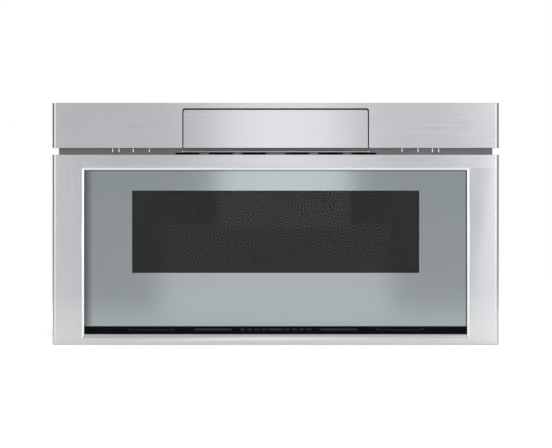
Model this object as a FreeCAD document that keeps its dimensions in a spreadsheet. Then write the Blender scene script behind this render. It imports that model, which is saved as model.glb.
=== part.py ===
"""A built-in microwave oven of the drawer kind, as an assembly of separate pieces.

The frame: X runs to the right, Y to the back, Z up, in millimetres. Y is 0 at the cabinet's face,
where the steel mounting plate seats, Z is 0 at the cabinet shelf under the chassis, and X is 0 in
the middle. The stainless fronts stand forward of the cabinet, at negative Y.
"""
import FreeCAD
import Part

import math
import os
import re

import Sketcher

Vector = FreeCAD.Vector
NEAR = 0.01

# The driving sizes, each with its meaning. Everything else is worked out from them.
SIZES = [
    # the two stainless fronts
    ("front_width", 758.8, "width of both fronts"),
    ("band_height", 76.6, "height of the console band"),
    ("vent_gap", 11.5, "open gap between the band and the drawer front"),
    ("drawer_front_height", 323.4, "height of the drawer front"),
    ("front_drop", 16, "how far the drawer front hangs below the shelf level"),
    ("front_depth", 45, "from the cabinet's face forward to the stainless face"),
    ("skin", 1.2, "stainless sheet"),
    ("edge_radius", 5, "rounding of the fronts' upright outer edges"),
    ("frame_side", 53.9, "stainless border left and right of the glass"),
    ("frame_top", 26, "stainless border above the glass"),
    ("frame_bottom", 19, "stainless border below the glass"),
    ("bevel", 4.6, "width of the bevel round the glass"),
    ("bevel_low", 7.3, "width of the bevel on the bottom border"),
    ("bevel_depth", 3.5, "depth of the bevel"),
    ("glass_thickness", 4, "outer glass"),
    ("glass_overlap", 6, "how far the glass runs behind the border"),
    ("mask_thickness", 0.3, "mirror layer behind the glass"),
    ("grille_height", 12.9, "dark air strip under the glass"),
    ("grille_thickness", 2, "sheet of the air strip"),
    ("grille_level", 10.5, "middle of its slots above the shelf level"),
    ("grille_slot", 3.2, "height of its slots"),
    ("first_slot", 13, "half of the slot in the middle"),
    ("slot_web", 1.6, "web beside that slot"),
    ("short_slots", 4, "short slots on each side"),
    ("short_slot", 9.6, "short slots"),
    ("short_slot_pitch", 12.3, "from short slot to short slot"),
    ("long_slot_start", 74.4, "long slot on each side"),
    ("long_slot_end", 139, "long slot on each side"),
    ("tray_start", 171, "outer slot with raised ends on each side"),
    ("tray_end", 252, "same"),
    ("tray_horn", 5, "its raised ends"),
    ("window_width", 488, "clear window"),
    ("window_height", 139.3, "clear window"),
    ("window_low", 107.2, "bottom edge of the window above the shelf level"),
    ("screen_thickness", 0.6, "perforated screen"),
    ("screen_border", 6, "how far the screen runs past the window"),
    ("carrier_thickness", 3, "plate that holds the glass"),
    ("post_start", 298, "inner side of the posts between glass carrier and back panel"),
    ("post_width", 16, "same posts"),
    # the back of the drawer front
    ("door_gap", 2, "between the closed drawer's choke cover and the mounting plate"),
    ("cover_thickness", 2, "plastic choke cover"),
    ("panel_sheet", 1, "steel of the drawer front's back"),
    ("panel_fold", 12, "fold round the back panel"),
    ("choke_width", 30, "choke trough"),
    ("choke_depth", 22, "choke trough"),
    ("choke_lip", 6, "flange of the choke pan and edge of its cover"),
    ("fit_gap", 0.3, "clearance between pieces that fit into each other"),
    ("bumper_radius", 6, "rubber bumpers"),
    ("striker_reach", 14, "tips of the strikers behind the cabinet's face"),
    ("striker_x", 21, "strikers outside the rails"),
    ("striker_low", 205, "level of the lowest striker"),
    ("striker_pitch", 30, "from striker to striker"),
    ("striker_border", 10, "striker plate past its outer tongues and screws"),
    ("striker_screw_x", 17, "screws of the striker plate outside its tongues"),
    ("tongue_width", 6, "tongues of the striker"),
    ("tongue_height", 8, "tongues of the striker"),
    ("switch_width", 10, "door switches"),
    ("switch_height", 16, "door switches"),
    ("switch_depth", 28, "door switches"),
    ("switch_margin", 12, "their bracket past the outer switches"),
    ("switch_plate_depth", 52, "their bracket"),
    ("plunger_radius", 1.5, "plungers of the door switches"),
    ("plunger_in", 6, "plungers inside their switches"),
    ("bumper_low", 21, "bumpers from the bottom and the top of the drawer"),
    ("bumper_inset", 15, "bumpers from the plate's side edges"),
    ("top_screw_x", 271, "screws in the top of the drawer front from the middle"),
    ("post_screw_low", 60, "level of the lower screws of the posts"),
    ("post_screw_high", 160, "level of the upper screws of the posts"),
    ("post_low", 30, "lower end of the posts"),
    ("post_drop", 20, "upper end of the posts under the choke's top"),
    ("post_bite", 8, "screws inside the posts"),
    ("screw_bite", 1, "screw tips past what they hold"),
    ("carrier_border", 8, "glass carrier past the sides of the glass"),
    # the mounting plate
    ("plate_width", 740.6, "mounting plate"),
    ("plate_thickness", 1.5, "mounting plate"),
    ("plate_top_inset", 5, "how far the plate stays below the top of the band"),
    ("mount_hole_radius", 2.6, "screw holes into the cabinet"),
    ("mount_hole_inset", 6.5, "screw holes from the plate's side edges"),
    ("mount_hole_low", 60, "level of the lower screw holes"),
    ("mount_hole_high", 260, "level of the upper screw holes"),
    ("slot_length", 42.4, "air slots in the gap under the band"),
    ("slot_height", 3.4, "air slots"),
    ("slot_first", 36.8, "middle of the first slot on each side"),
    ("slot_pitch", 56.8, "from slot to slot"),
    ("slot_count", 3, "slots on each side"),
    ("slot_rise", 0.8, "slots above the top of the drawer front"),
    ("plate_rim", 10, "least height of plate over the console's opening"),
    ("hole_gap", 2, "room round what reaches through the plate"),
    ("passage_gap", 1.6, "room round the rails in the plate"),
    # the case
    ("body_width", 706, "case in the cabinet opening"),
    ("body_height", 368, "case"),
    ("case_sheet", 1, "galvanised sheet of the case"),
    ("case_fold", 16, "folds of the base and back sheets"),
    ("louvre_length", 44, "air slots of the case"),
    ("louvre_height", 4, "air slots of the case"),
    ("louvre_pitch", 11, "air slots of the case"),
    ("louvre_count", 9, "air slots in a row"),
    ("screw_radius", 1.9, "self-tapping screws"),
    ("screw_hole", 2.1, "radius of the holes for them"),
    ("screw_head", 3.8, "radius of their heads"),
    ("head_height", 2, "height of their heads"),
    # the oven cavity
    ("cavity_width", 440, "inside"),
    ("cavity_height", 183, "inside"),
    ("cavity_depth", 424, "inside"),
    ("cavity_floor", 85, "level of the cavity's floor"),
    ("cavity_wall", 1, "sheet"),
    ("cavity_rim", 12, "flange welded to the mounting plate"),
    ("recess_radius", 92, "round recess for the antenna in the floor"),
    ("recess_depth", 14, "same"),
    ("antenna_y", 215, "middle of the antenna from the cabinet's face"),
    # the tub
    ("tub_side_gap", 6, "tub to cavity wall"),
    ("tub_floor_gap", 4, "tub to cavity floor"),
    ("tub_rear_gap", 12, "tub to the cavity's back wall"),
    ("tub_height", 125, "tub"),
    ("tub_wall", 1.2, "sheet"),
    ("tub_flange", 18, "flanges screwed to the drawer front"),
    ("tub_rim", 3, "rolled rim"),
    ("shelf_thickness", 5, "ceramic shelf"),
    ("shelf_ledge", 14, "ledge that the shelf lies on"),
    ("rim_start", 2, "front end of the rim behind the cabinet's face"),
    ("tub_screw_low", 36, "lower screws in the side flanges above the tub's bottom"),
    ("tub_screw_drop", 14, "upper screws in the side flanges under the tub's top"),
    ("tub_screw_x", 100, "screws in the lower flange from the middle"),
    ("tub_screw_floor", 12, "screws in the lower flange above the tub's bottom"),
    # the telescopic rails
    ("travel", 381, "how far the drawer opens"),
    ("rail_x", 282, "outer face of the fixed rail from the middle"),
    ("rail_level", 98, "middle of the rails above the shelf level"),
    ("rail_height", 45.7, "fixed rail"),
    ("rail_depth", 12.7, "fixed rail"),
    ("rail_sheet", 1.2, "all rails"),
    ("rail_length", 450, "fixed rail"),
    ("rail_start", 4, "front end of the fixed rail from the cabinet's face"),
    ("ball_radius", 2, "balls"),
    ("ball_gap", 0.12, "ball to raceway"),
    ("ball_pitch", 32, "balls along a cage"),
    ("ball_count", 7, "balls in a row"),
    ("cage_start", 125, "front end of the ball cages from the cabinet's face"),
    ("cage_end", 12, "cages past their first and last balls"),
    ("cage_gap", 0.4, "cages to the webs of the rails"),
    ("cage_sheet", 0.6, "ball cages"),
    ("ball_x", 8, "line of the balls inside the fixed rail's outer face"),
    ("rail_step", 3, "middle rail inside the fixed rail"),
    ("inner_setback", 14, "inner rail's end in front of the fixed rail's end"),
    ("bracket_sheet", 2, "steel brackets"),
    ("bracket_foot", 20, "feet of the rails' brackets"),
    ("bracket_screw_x", 7, "screws of the switch bracket outside the rails"),
    ("arm_length", 60, "arms that hold the inner rails, behind the cabinet's face"),
    ("arm_height", 20, "same"),
    ("arm_border", 8, "feet of the arms past their screws"),
    ("arm_screw_x", 10, "screws of the arms outside the rails"),
    ("arm_screw_rise", 10, "screws of the arms above and below the rails' middle"),
    # the rack drive
    ("gear_module", 2, "rack and pinion"),
    ("pinion_teeth", 18, "pinion"),
    ("tooth_slack", 0.25, "play between the teeth"),
    ("rack_x", -146, "pitch line of the rack"),
    ("rack_low", 34, "underside of the rack"),
    ("rack_thickness", 12, "rack"),
    ("rack_back", 10, "solid width behind the teeth"),
    ("pinion_y", 45, "pinion from the cabinet's face"),
    ("pinion_face", 14, "pinion"),
    ("shaft_radius", 4, "drive shaft"),
    ("shaft_gap", 0.06, "running clearance of shafts and pins"),
    ("rack_overrun", 15, "rack past the pinion with the drawer open"),
    ("rack_lead", 12, "plain start of the rack"),
    ("rack_foot_drop", 12, "rack's foot under the rack"),
    ("rack_foot_side", 6, "rack's foot beside the rack"),
    ("rack_screw_in", 7, "rack's screw from its back"),
    ("rack_screw_drop", 7, "rack's screw under the rack"),
    ("gearbox_top", 30, "top of the drive's gearbox"),
    ("gearbox_left", 20, "gearbox left of the pinion"),
    ("gearbox_right", 30, "gearbox right of the pinion"),
    ("gearbox_depth", 46, "gearbox"),
    ("gearbox_corner", 4, "rounding of the gearbox"),
    ("gear_shaft_in", 18, "pinion's shaft in the gearbox"),
    ("boss_radius", 9, "boss round the shaft"),
    ("drive_motor_radius", 14, "drive motor"),
    ("drive_motor_length", 46, "drive motor"),
    ("guide_block", 32, "rack's guide along the rack"),
    ("guide_post", 9, "rack's guide behind the rack"),
    ("guide_grip", 7, "its lips over the rack"),
    ("guide_lip", 3, "same, thickness"),
    ("guide_foot", 26, "its foot"),
    # the console
    ("flap_width", 313.2, "tilting control flap"),
    ("flap_height", 64.8, "same"),
    ("flap_gap", 2, "gap beside it"),
    ("flap_top_gap", 2.5, "gap above it"),
    ("flap_corner", 4.5, "rounding of its upper corners"),
    ("pivot_back", 4.5, "hinge pin behind the stainless face"),
    ("pivot_up", 4.6, "hinge pin above the flap's bottom edge"),
    ("pin_radius", 2.5, "hinge pins"),
    ("touch_level", 46, "touch glass above the hinge pin"),
    ("touch_reach", 30, "rear edge of the touch glass behind the hinge pin"),
    ("touch_thickness", 3, "touch glass"),
    ("carrier_wall", 2.2, "moulded walls of the flap"),
    ("housing_wall", 2, "moulded walls of the console"),
    ("swing_gap", 2, "room round the swinging flap"),
    ("mouth_height", 10, "opening in the console's floor for the flap's lower edge"),
    ("top_fold", 7.8, "fold along the top of the flap"),
    ("low_fold", 2.8, "fold along the bottom of the flap"),
    ("bin_drop", 1.5, "flap's bin below the hinge pins"),
    ("rib_x", 75, "ribs in the bin from the middle"),
    ("rib_sheet", 2, "ribs in the bin"),
    ("pin_seat", 1, "hinge pins into the bin and short of the cheeks' outside"),
    ("board_gap", 0.2, "touch glass to its board"),
    ("board_inset", 1, "touch board inside the bin"),
    ("latch_start", 14, "latch behind the stainless face"),
    ("latch_depth", 20, "latch"),
    ("latch_width", 26, "latch"),
    ("latch_height", 5, "latch"),
    ("latch_hook", 4, "its hook"),
    ("band_screw_inner", 190, "screws under the band from the middle"),
    ("band_screw_outer", 233, "same"),
    ("band_foot_start", 180, "band's brackets from the middle"),
    ("band_foot_end", 300, "same"),
    ("band_arm", 12, "their arms in front of the screws"),
    ("tab_drop", 6.9, "their tabs under the band"),
    ("wide_tab", 29, "wider tab"),
    ("wide_tab_end", 244, "outer end of the wider tab"),
    ("small_tab", 12.2, "narrower tab"),
    ("small_tab_end", 279, "outer end of the narrower tab"),
    # the electric parts behind the oven
    ("machine_depth", 161, "room behind the oven up to the back of the case"),
    ("parts_back", 86, "middle of the transformer and the capacitor behind the oven"),
    ("magnetron_back", 73, "magnetron's axis behind the oven"),
    ("fan_back", 82, "fan's axis behind the oven"),
    ("guide_width", 84, "waveguide"),
    ("guide_low", 30, "underside of the waveguide"),
    ("guide_sheet", 1, "waveguide"),
    ("launch_radius", 16, "holes for the two antennas"),
    ("cover_sheet", 1.5, "plate over the antenna"),
    ("cover_ledge", 3, "how far that plate runs past its recess"),
    ("antenna_radius", 76, "turning antenna"),
    ("antenna_sheet", 1.2, "turning antenna"),
    ("antenna_rise", 6, "turning antenna above the waveguide"),
    ("antenna_slot", 10, "width of its slots"),
    ("hub_gap", 1, "turning hub to what is under it"),
    ("shaft_depth", 12, "antenna's shaft in its motor"),
    ("turner_width", 48, "antenna's motor"),
    ("turner_height", 18, "antenna's motor"),
    ("flange_sheet", 1.5, "magnetron's flange"),
    ("yoke_width", 72, "magnetron's yoke"),
    ("yoke_depth", 76, "magnetron's yoke"),
    ("yoke_height", 78, "magnetron's yoke"),
    ("yoke_sheet", 2, "magnetron's yoke"),
    ("anode_radius", 19, "magnetron"),
    ("fin_count", 7, "cooling fins"),
    ("fin_first", 22, "first fin above the flange"),
    ("fin_pitch", 5.5, "from fin to fin"),
    ("fin_sheet", 1, "cooling fins"),
    ("magnet_radius", 27, "ring magnets"),
    ("magnet_height", 15, "ring magnets"),
    ("choke_box_width", 56, "magnetron's filter box"),
    ("choke_box_height", 34, "magnetron's filter box"),
    ("dome_length", 22, "magnetron's antenna in the waveguide"),
    ("core_width", 90, "transformer core"),
    ("core_depth", 52, "transformer core"),
    ("core_height", 76, "transformer core"),
    ("core_foot", 8, "how far its foot stands out in front and behind"),
    ("winding_width", 60, "windings"),
    ("winding_depth", 84, "windings"),
    ("winding_height", 22, "windings"),
    ("winding_first", 14, "lower winding above the foot"),
    ("winding_pitch", 28, "from winding to winding"),
    ("winding_corner", 8, "rounding of the windings"),
    ("can_flat", 36, "straight part of the capacitor's oval"),
    ("can_radius", 22, "capacitor's round ends"),
    ("can_height", 82, "capacitor"),
    ("strap_reach", 34, "strap past the middle of each round end"),
    ("strap_width", 28, "strap"),
    ("terminal_width", 6, "flat terminals"),
    ("terminal_height", 8, "flat terminals"),
    ("diode_radius", 5, "diode"),
    ("diode_length", 8, "diode"),
    ("fan_x", 118, "front face of the fan's plate"),
    ("fan_level", 122, "fan's axis above the shelf level"),
    ("fan_radius", 58, "fan blades"),
    ("fan_gap", 4, "blades to the shroud"),
    ("fan_depth", 30, "fan's plate to the motor's bridge"),
    ("fan_hub", 14, "radius of the fan's hub"),
    ("blade_depth", 18, "fan wheel along its axis"),
    ("blade_sheet", 1.6, "blades"),
    ("wheel_gap", 2, "fan wheel behind its plate"),
    ("shroud_border", 12, "fan's plate past its ring"),
    ("shroud_foot", 20, "foot of the fan's plate"),
    ("ring_gap", 8, "open gap between the ring and the bridge"),
    ("duct_height", 76, "duct to the magnetron"),
    ("bridge_width", 12, "bridge that holds the fan's motor"),
    ("bridge_post", 6, "posts of the bridge"),
    ("stator_depth", 26, "fan's motor"),
    ("stator_width", 56, "fan's motor"),
    ("stator_height", 48, "fan's motor"),
    ("coil_width", 28, "coil on the fan's motor"),
    ("coil_height", 16, "coil on the fan's motor"),
    ("coil_inset", 3, "coil behind the motor's face"),
    ("fan_shaft_in", 18, "fan's shaft in its motor"),
    ("standoff", 12, "power board above the oven"),
    ("standoff_inset", 8, "standoffs from the board's edges"),
    ("standoff_radius", 4, "standoffs"),
    ("board_thickness", 1.6, "circuit boards"),
    ("filter_width", 72, "noise filter's board"),
    ("filter_depth", 96, "noise filter's board"),
    ("filter_choke_radius", 13.2, "choke on the noise filter"),
    ("filter_choke_y", 30, "choke from the board's front edge"),
    ("filter_cap_y", 56, "capacitor from the board's front edge"),
    ("filter_cap_depth", 20, "capacitor on the noise filter"),
    ("filter_cap_height", 22, "capacitor on the noise filter"),
    ("lamp_depth", 34, "lamp box along the oven"),
    ("lamp_height", 30, "lamp box"),
    ("lamp_width", 24, "lamp box out from the oven"),
    ("lamp_drop", 14, "lamp box under the oven's roof"),
    ("lamp_cap", 14, "lamp's holder"),
    ("lamp_radius", 8, "lamp's holder"),
    ("cutout_x", 60, "thermal cutouts from the middle"),
    ("cutout_radius", 8, "thermal cutouts"),
    ("cutout_height", 9, "thermal cutouts"),
    ("cutout_ear", 14, "their ears from the middle"),
    ("cutout_ear_width", 10, "their ears"),
    ("cord_hole", 11, "bore of the bushing for the supply cord"),
    ("cord_x", 250, "bushing from the middle"),
    ("cord_level", 330, "bushing above the shelf level"),
]
ALIASES = {name for name, _, _ in SIZES}

doc = FreeCAD.newDocument("microwave_drawer")
dims = doc.addObject("Spreadsheet::Sheet", "dims")
for row, (alias, value, meaning) in enumerate(SIZES, start=1):
    dims.set(f"A{row}", alias)
    dims.set(f"B{row}", str(value))
    dims.set(f"C{row}", meaning)
    dims.setAlias(f"B{row}", alias)
doc.recompute()


def size(alias):
    """A driving size as a number, for the shapes that are worked out in code."""
    return float(dims.get(alias))


def ex(text):
    """A formula in plain names, written as an expression on the sheet's cells."""
    return re.sub(
        r"[a-z_][a-z_0-9]*",
        lambda word: f"dims.{word.group()}" if word.group() in ALIASES else word.group(),
        str(text),
    )


# Levels along Z
DRAWER_BOTTOM = "(-front_drop)"
DRAWER_TOP = "(drawer_front_height - front_drop)"
BAND_BOTTOM = f"({DRAWER_TOP} + vent_gap)"
BAND_TOP = f"({BAND_BOTTOM} + band_height)"
PLATE_TOP = f"({BAND_TOP} - plate_top_inset)"
OPENING_BOTTOM = f"({DRAWER_BOTTOM} + frame_bottom)"
OPENING_TOP = f"({DRAWER_TOP} - frame_top)"
GLASS_BOTTOM = f"({OPENING_BOTTOM} + grille_height)"
WINDOW_TOP = "(window_low + window_height)"
CAVITY_TOP = "(cavity_floor + cavity_height)"
TUB_BOTTOM = "(cavity_floor + tub_floor_gap)"
TUB_TOP = f"({TUB_BOTTOM} + tub_height)"
GUIDE_TOP = "(cavity_floor - recess_depth - cavity_wall)"
FLAP_TOP = f"({BAND_BOTTOM} + flap_height)"
CASE_INSIDE_TOP = "(body_height - case_sheet)"

# Depths along Y
FACE = "(-front_depth)"
PLATE_FRONT = "(-plate_thickness)"
COVER_BACK = f"({PLATE_FRONT} - door_gap)"
PANEL_BACK = f"({COVER_BACK} - cover_thickness)"
PANEL_FRONT = f"({PANEL_BACK} - panel_sheet)"
GLASS_FRONT = f"({FACE} + bevel_depth + skin)"
GLASS_BACK = f"({GLASS_FRONT} + glass_thickness)"
MASK_BACK = f"({GLASS_BACK} + mask_thickness)"
CARRIER_BACK = f"({MASK_BACK} + carrier_thickness)"
CHOKE_FRONT = f"({PANEL_BACK} - choke_depth)"
TUB_BACK = "(cavity_depth - tub_rear_gap)"
BODY_DEPTH = "(cavity_depth + machine_depth)"
MACHINE_Y = "(cavity_depth + parts_back)"
MAGNETRON_Y = "(cavity_depth + magnetron_back)"
FAN_Y = "(cavity_depth + fan_back)"
FOOT_TOP = "(case_sheet + bracket_sheet)"

# Half widths along X
HALF_FRONT = "(front_width / 2)"
HALF_PLATE = "(plate_width / 2)"
HALF_OPENING = "(front_width / 2 - frame_side)"
HALF_WINDOW = "(window_width / 2)"
HALF_BODY = "(body_width / 2)"
HALF_INSIDE = "(body_width / 2 - case_sheet)"
HALF_CAVITY = "(cavity_width / 2)"
HALF_TUB = "(cavity_width / 2 - tub_side_gap)"
HALF_CHOKE = "(cavity_width / 2 + choke_width)"
HALF_FLAP = "(flap_width / 2)"
HALF_FLAP_HOLE = "(flap_width / 2 + flap_gap)"

NODES = {}


def node(label, item):
    """Keeps a finished piece under the name that its file gets."""
    item.Label = label
    NODES[label] = item
    return item


# ---------------------------------------------------------------- plain solids and booleans
TURNED = {
    "x": FreeCAD.Rotation(Vector(0, 1, 0), 90),
    "y": FreeCAD.Rotation(Vector(1, 0, 0), -90),
    "z": FreeCAD.Rotation(),
}


def middle(half):
    """The span from minus half to plus half."""
    return f"-({half})", half


def around(centre, half):
    """The span of half to each side of a centre."""
    return f"({centre}) - ({half})", f"({centre}) + ({half})"


def flipped(span):
    """The same span on the other side of the middle."""
    low, high = span
    return f"-({high})", f"-({low})"


def slab(x, y, z):
    """A box over three spans."""
    box = doc.addObject("Part::Box", "slab")
    for name, place, (low, high) in (("Length", "x", x), ("Width", "y", y), ("Height", "z", z)):
        box.setExpression(name, ex(f"({high}) - ({low})"))
        box.setExpression(f"Placement.Base.{place}", ex(low))
    return box


def rod(axis, span, first, second, radius):
    """A cylinder along an axis over a span, centred at first and second on the other two axes."""
    solid = doc.addObject("Part::Cylinder", "rod")
    solid.Placement.Rotation = TURNED[axis]
    low, high = span
    solid.setExpression("Radius", ex(radius))
    solid.setExpression("Height", ex(f"({high}) - ({low})"))
    across = [name for name in "xyz" if name != axis]
    solid.setExpression(f"Placement.Base.{axis}", ex(low))
    solid.setExpression(f"Placement.Base.{across[0]}", ex(first))
    solid.setExpression(f"Placement.Base.{across[1]}", ex(second))
    return solid


def ball(x, y, z, radius):
    """A sphere."""
    solid = doc.addObject("Part::Sphere", "ball")
    solid.setExpression("Radius", ex(radius))
    for place, where in (("x", x), ("y", y), ("z", z)):
        solid.setExpression(f"Placement.Base.{place}", ex(where))
    return solid


def funnel(front, back, y):
    """A tapering block along Y between two rectangles, each given as an X span and a Z span."""
    solid = doc.addObject("Part::Wedge", "funnel")
    names = (("Xmin", "Xmax", "Zmin", "Zmax"), ("X2min", "X2max", "Z2min", "Z2max"))
    for keys, ((x_low, x_high), (z_low, z_high)) in zip(names, (front, back)):
        for key, value in zip(keys, (x_low, x_high, z_low, z_high)):
            solid.setExpression(key, ex(value))
    solid.setExpression("Ymin", ex(y[0]))
    solid.setExpression("Ymax", ex(y[1]))
    return solid


def fuse(*parts):
    """One solid from several that touch or overlap."""
    whole = doc.addObject("Part::MultiFuse", "fuse")
    whole.Shapes = list(parts)
    return whole


def cut(base, *tools):
    """Base less the tools."""
    whole = doc.addObject("Part::Cut", "cut")
    whole.Base = base
    whole.Tool = tools[0] if len(tools) == 1 else fuse(*tools)
    return whole


def common(first, second):
    """What two solids share."""
    whole = doc.addObject("Part::Common", "common")
    whole.Base = first
    whole.Tool = second
    return whole


def group(*parts):
    """Several separate solids kept as one piece."""
    whole = doc.addObject("Part::Compound", "group")
    whole.Links = list(parts)
    return whole


def mirrored(item):
    """The same piece on the other side of the middle."""
    twin = doc.addObject("Part::Mirroring", "mirrored")
    twin.Source = item
    twin.Base = Vector(0, 0, 0)
    twin.Normal = Vector(1, 0, 0)
    return twin


def computed(name, shape, place=(0, 0, 0)):
    """A solid whose shape is worked out in code, then moved to its place."""
    item = doc.addObject("Part::Feature", name)
    item.Shape = shape
    item.Placement = FreeCAD.Placement(Vector(*place), FreeCAD.Rotation())
    return item


# ---------------------------------------------------------------- sketched bodies
def new_body(label):
    """An empty body, kept as a piece."""
    return node(label, doc.addObject("PartDesign::Body", label))


def new_sketch(body, plane, corner, level):
    """A sketch on one of the body's origin planes, its origin moved to corner and level."""
    sketch = body.newObject("Sketcher::SketchObject", "sketch")
    planes = {item.Role: item for item in body.Origin.OriginFeatures}
    sketch.AttachmentSupport = [(planes[plane], "")]
    sketch.MapMode = "FlatFace"
    for place, where in zip("xyz", (*corner, level)):
        sketch.setExpression(f"AttachmentOffset.Base.{place}", ex(where))
    return sketch


def rectangle(body, plane, across, up, level):
    """A rectangle over two spans. On the XZ plane, level is minus Y."""
    sketch = new_sketch(body, plane, (across[0], up[0]), level)
    corners = [Vector(0, 0, 0), Vector(20, 0, 0), Vector(20, 10, 0), Vector(0, 10, 0)]
    for number in range(4):
        sketch.addGeometry(Part.LineSegment(corners[number], corners[(number + 1) % 4]))
    for number in range(4):
        sketch.addConstraint(Sketcher.Constraint("Coincident", number, 2, (number + 1) % 4, 1))
    for number in (0, 2):
        sketch.addConstraint(Sketcher.Constraint("Horizontal", number))
        sketch.addConstraint(Sketcher.Constraint("Vertical", number + 1))
    sketch.addConstraint(Sketcher.Constraint("Coincident", 0, 1, -1, 1))
    width = sketch.addConstraint(Sketcher.Constraint("DistanceX", 0, 1, 0, 2, 20))
    height = sketch.addConstraint(Sketcher.Constraint("DistanceY", 1, 1, 1, 2, 10))
    sketch.renameConstraint(width, "width")
    sketch.renameConstraint(height, "height")
    sketch.setExpression("Constraints.width", ex(f"({across[1]}) - ({across[0]})"))
    sketch.setExpression("Constraints.height", ex(f"({up[1]}) - ({up[0]})"))
    return sketch


def circle(body, plane, centre, level, radius):
    """A circle at centre."""
    sketch = new_sketch(body, plane, centre, level)
    sketch.addGeometry(Part.Circle(Vector(0, 0, 0), Vector(0, 0, 1), 5))
    sketch.addConstraint(Sketcher.Constraint("Coincident", 0, 3, -1, 1))
    number = sketch.addConstraint(Sketcher.Constraint("Radius", 0, 5))
    sketch.renameConstraint(number, "radius")
    sketch.setExpression("Constraints.radius", ex(radius))
    return sketch


def rounded_slot(body, plane, across, up, level, radius):
    """A slot with round ends over a span, its middle at the height up."""
    sketch = new_sketch(body, plane, (f"{across[0]} + ({radius})", up), level)
    start, end, reach = Vector(0, 0, 0), Vector(30, 0, 0), Vector(0, 2, 0)
    axis = Vector(0, 0, 1)
    quarter = math.pi / 2
    sketch.addGeometry(Part.LineSegment(start + reach, end + reach))
    sketch.addGeometry(Part.ArcOfCircle(Part.Circle(end, axis, 2), -quarter, quarter))
    sketch.addGeometry(Part.LineSegment(end - reach, start - reach))
    sketch.addGeometry(Part.ArcOfCircle(Part.Circle(start, axis, 2), quarter, 3 * quarter))
    sketch.addConstraint(Sketcher.Constraint("Tangent", 0, 2, 1, 2))
    sketch.addConstraint(Sketcher.Constraint("Tangent", 1, 1, 2, 1))
    sketch.addConstraint(Sketcher.Constraint("Tangent", 2, 2, 3, 2))
    sketch.addConstraint(Sketcher.Constraint("Tangent", 3, 1, 0, 1))
    sketch.addConstraint(Sketcher.Constraint("Equal", 1, 3))
    sketch.addConstraint(Sketcher.Constraint("Horizontal", 0))
    sketch.addConstraint(Sketcher.Constraint("Coincident", 3, 3, -1, 1))
    number = sketch.addConstraint(Sketcher.Constraint("Radius", 3, 2))
    length = sketch.addConstraint(Sketcher.Constraint("DistanceX", 3, 3, 1, 3, 30))
    sketch.renameConstraint(number, "radius")
    sketch.renameConstraint(length, "length")
    sketch.setExpression("Constraints.radius", ex(radius))
    sketch.setExpression("Constraints.length", ex(f"({across[1]}) - ({across[0]}) - 2 * ({radius})"))
    return sketch


def pad(body, sketch, length):
    """Adds material along the sketch's normal."""
    feature = body.newObject("PartDesign::Pad", "pad")
    feature.Profile = sketch
    feature.setExpression("Length", ex(length))
    doc.recompute()
    return feature


def pocket(body, sketch, length):
    """Cuts against the sketch's normal, and makes sure that it does cut."""
    before = body.Shape.Volume
    feature = body.newObject("PartDesign::Pocket", "pocket")
    feature.Profile = sketch
    feature.setExpression("Length", ex(length))
    doc.recompute()
    if feature.Shape.Volume > before - 1e-6:
        raise ValueError(f"a pocket of {body.Label} cuts nothing")
    return feature


def block(body, plane, x, y, z):
    """Pads a rectangle on one of the origin planes so that it fills three spans."""
    across, up, level, length = {
        "XY": (x, y, z[0], f"({z[1]}) - ({z[0]})"),
        "XZ": (x, z, f"-({y[1]})", f"({y[1]}) - ({y[0]})"),
        "YZ": (y, z, x[0], f"({x[1]}) - ({x[0]})"),
    }[plane]
    sketch = rectangle(body, plane + "_Plane", across, up, level)
    return pad(body, sketch, length)


def opening(body, plane, x, y, z):
    """Cuts a rectangle out of a body over three spans. Gives the cut and its sketch."""
    across, up, level, length = {
        "XY": (x, y, z[1], f"({z[1]}) - ({z[0]})"),
        "XZ": (x, z, f"-({y[0]})", f"({y[1]}) - ({y[0]})"),
        "YZ": (y, z, x[1], f"({x[1]}) - ({x[0]})"),
    }[plane]
    sketch = rectangle(body, plane + "_Plane", across, up, level)
    return pocket(body, sketch, length), sketch


def bore(body, plane, centre, span, radius):
    """Drills a round hole over a span of the axis that is square to the plane."""
    level = f"-({span[0]})" if plane == "XZ" else span[1]
    sketch = circle(body, plane + "_Plane", centre, level, radius)
    return pocket(body, sketch, f"({span[1]}) - ({span[0]})")


def row_of(body, feature, sketch, direction, pitch, count):
    """Repeats a feature along its sketch's axis."""
    pattern = body.newObject("PartDesign::LinearPattern", "row")
    pattern.Originals = [feature]
    pattern.Direction = (sketch, [direction])
    pattern.setExpression("Length", ex(f"({pitch}) * ({count} - 1)"))
    pattern.setExpression("Occurrences", ex(count))
    body.Tip = pattern
    doc.recompute()
    return pattern


def rounded(body, feature, radius, chosen):
    """Rounds the edges of a feature that the test chooses."""
    names = [
        f"Edge{number}"
        for number, edge in enumerate(feature.Shape.Edges, start=1)
        if chosen(edge)
    ]
    fillet = body.newObject("PartDesign::Fillet", "fillet")
    fillet.Base = (feature, names)
    fillet.setExpression("Radius", ex(radius))
    doc.recompute()
    return fillet


def runs_along(edge, axis):
    """Whether an edge is straight along X, Y or Z."""
    ends = edge.Vertexes
    if len(ends) != 2:
        return False
    step = ends[1].Point - ends[0].Point
    return step.Length > NEAR and abs(getattr(step, axis)) > step.Length - NEAR


# ---------------------------------------------------------------- screws
def screw(axis, outward, seat, first, second, length):
    """A screw with its head on the seat. Outward is 1 or -1, the side its head is on."""
    low_head, high_head = (seat, f"{seat} + head_height")
    low_shank, high_shank = (f"{seat} - ({length})", seat)
    if outward < 0:
        low_head, high_head = (f"{seat} - head_height", seat)
        low_shank, high_shank = (seat, f"{seat} + ({length})")
    head = rod(axis, (low_head, high_head), first, second, "screw_head")
    shank = rod(axis, (low_shank, high_shank), first, second, "screw_radius")
    return fuse(head, shank)


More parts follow.
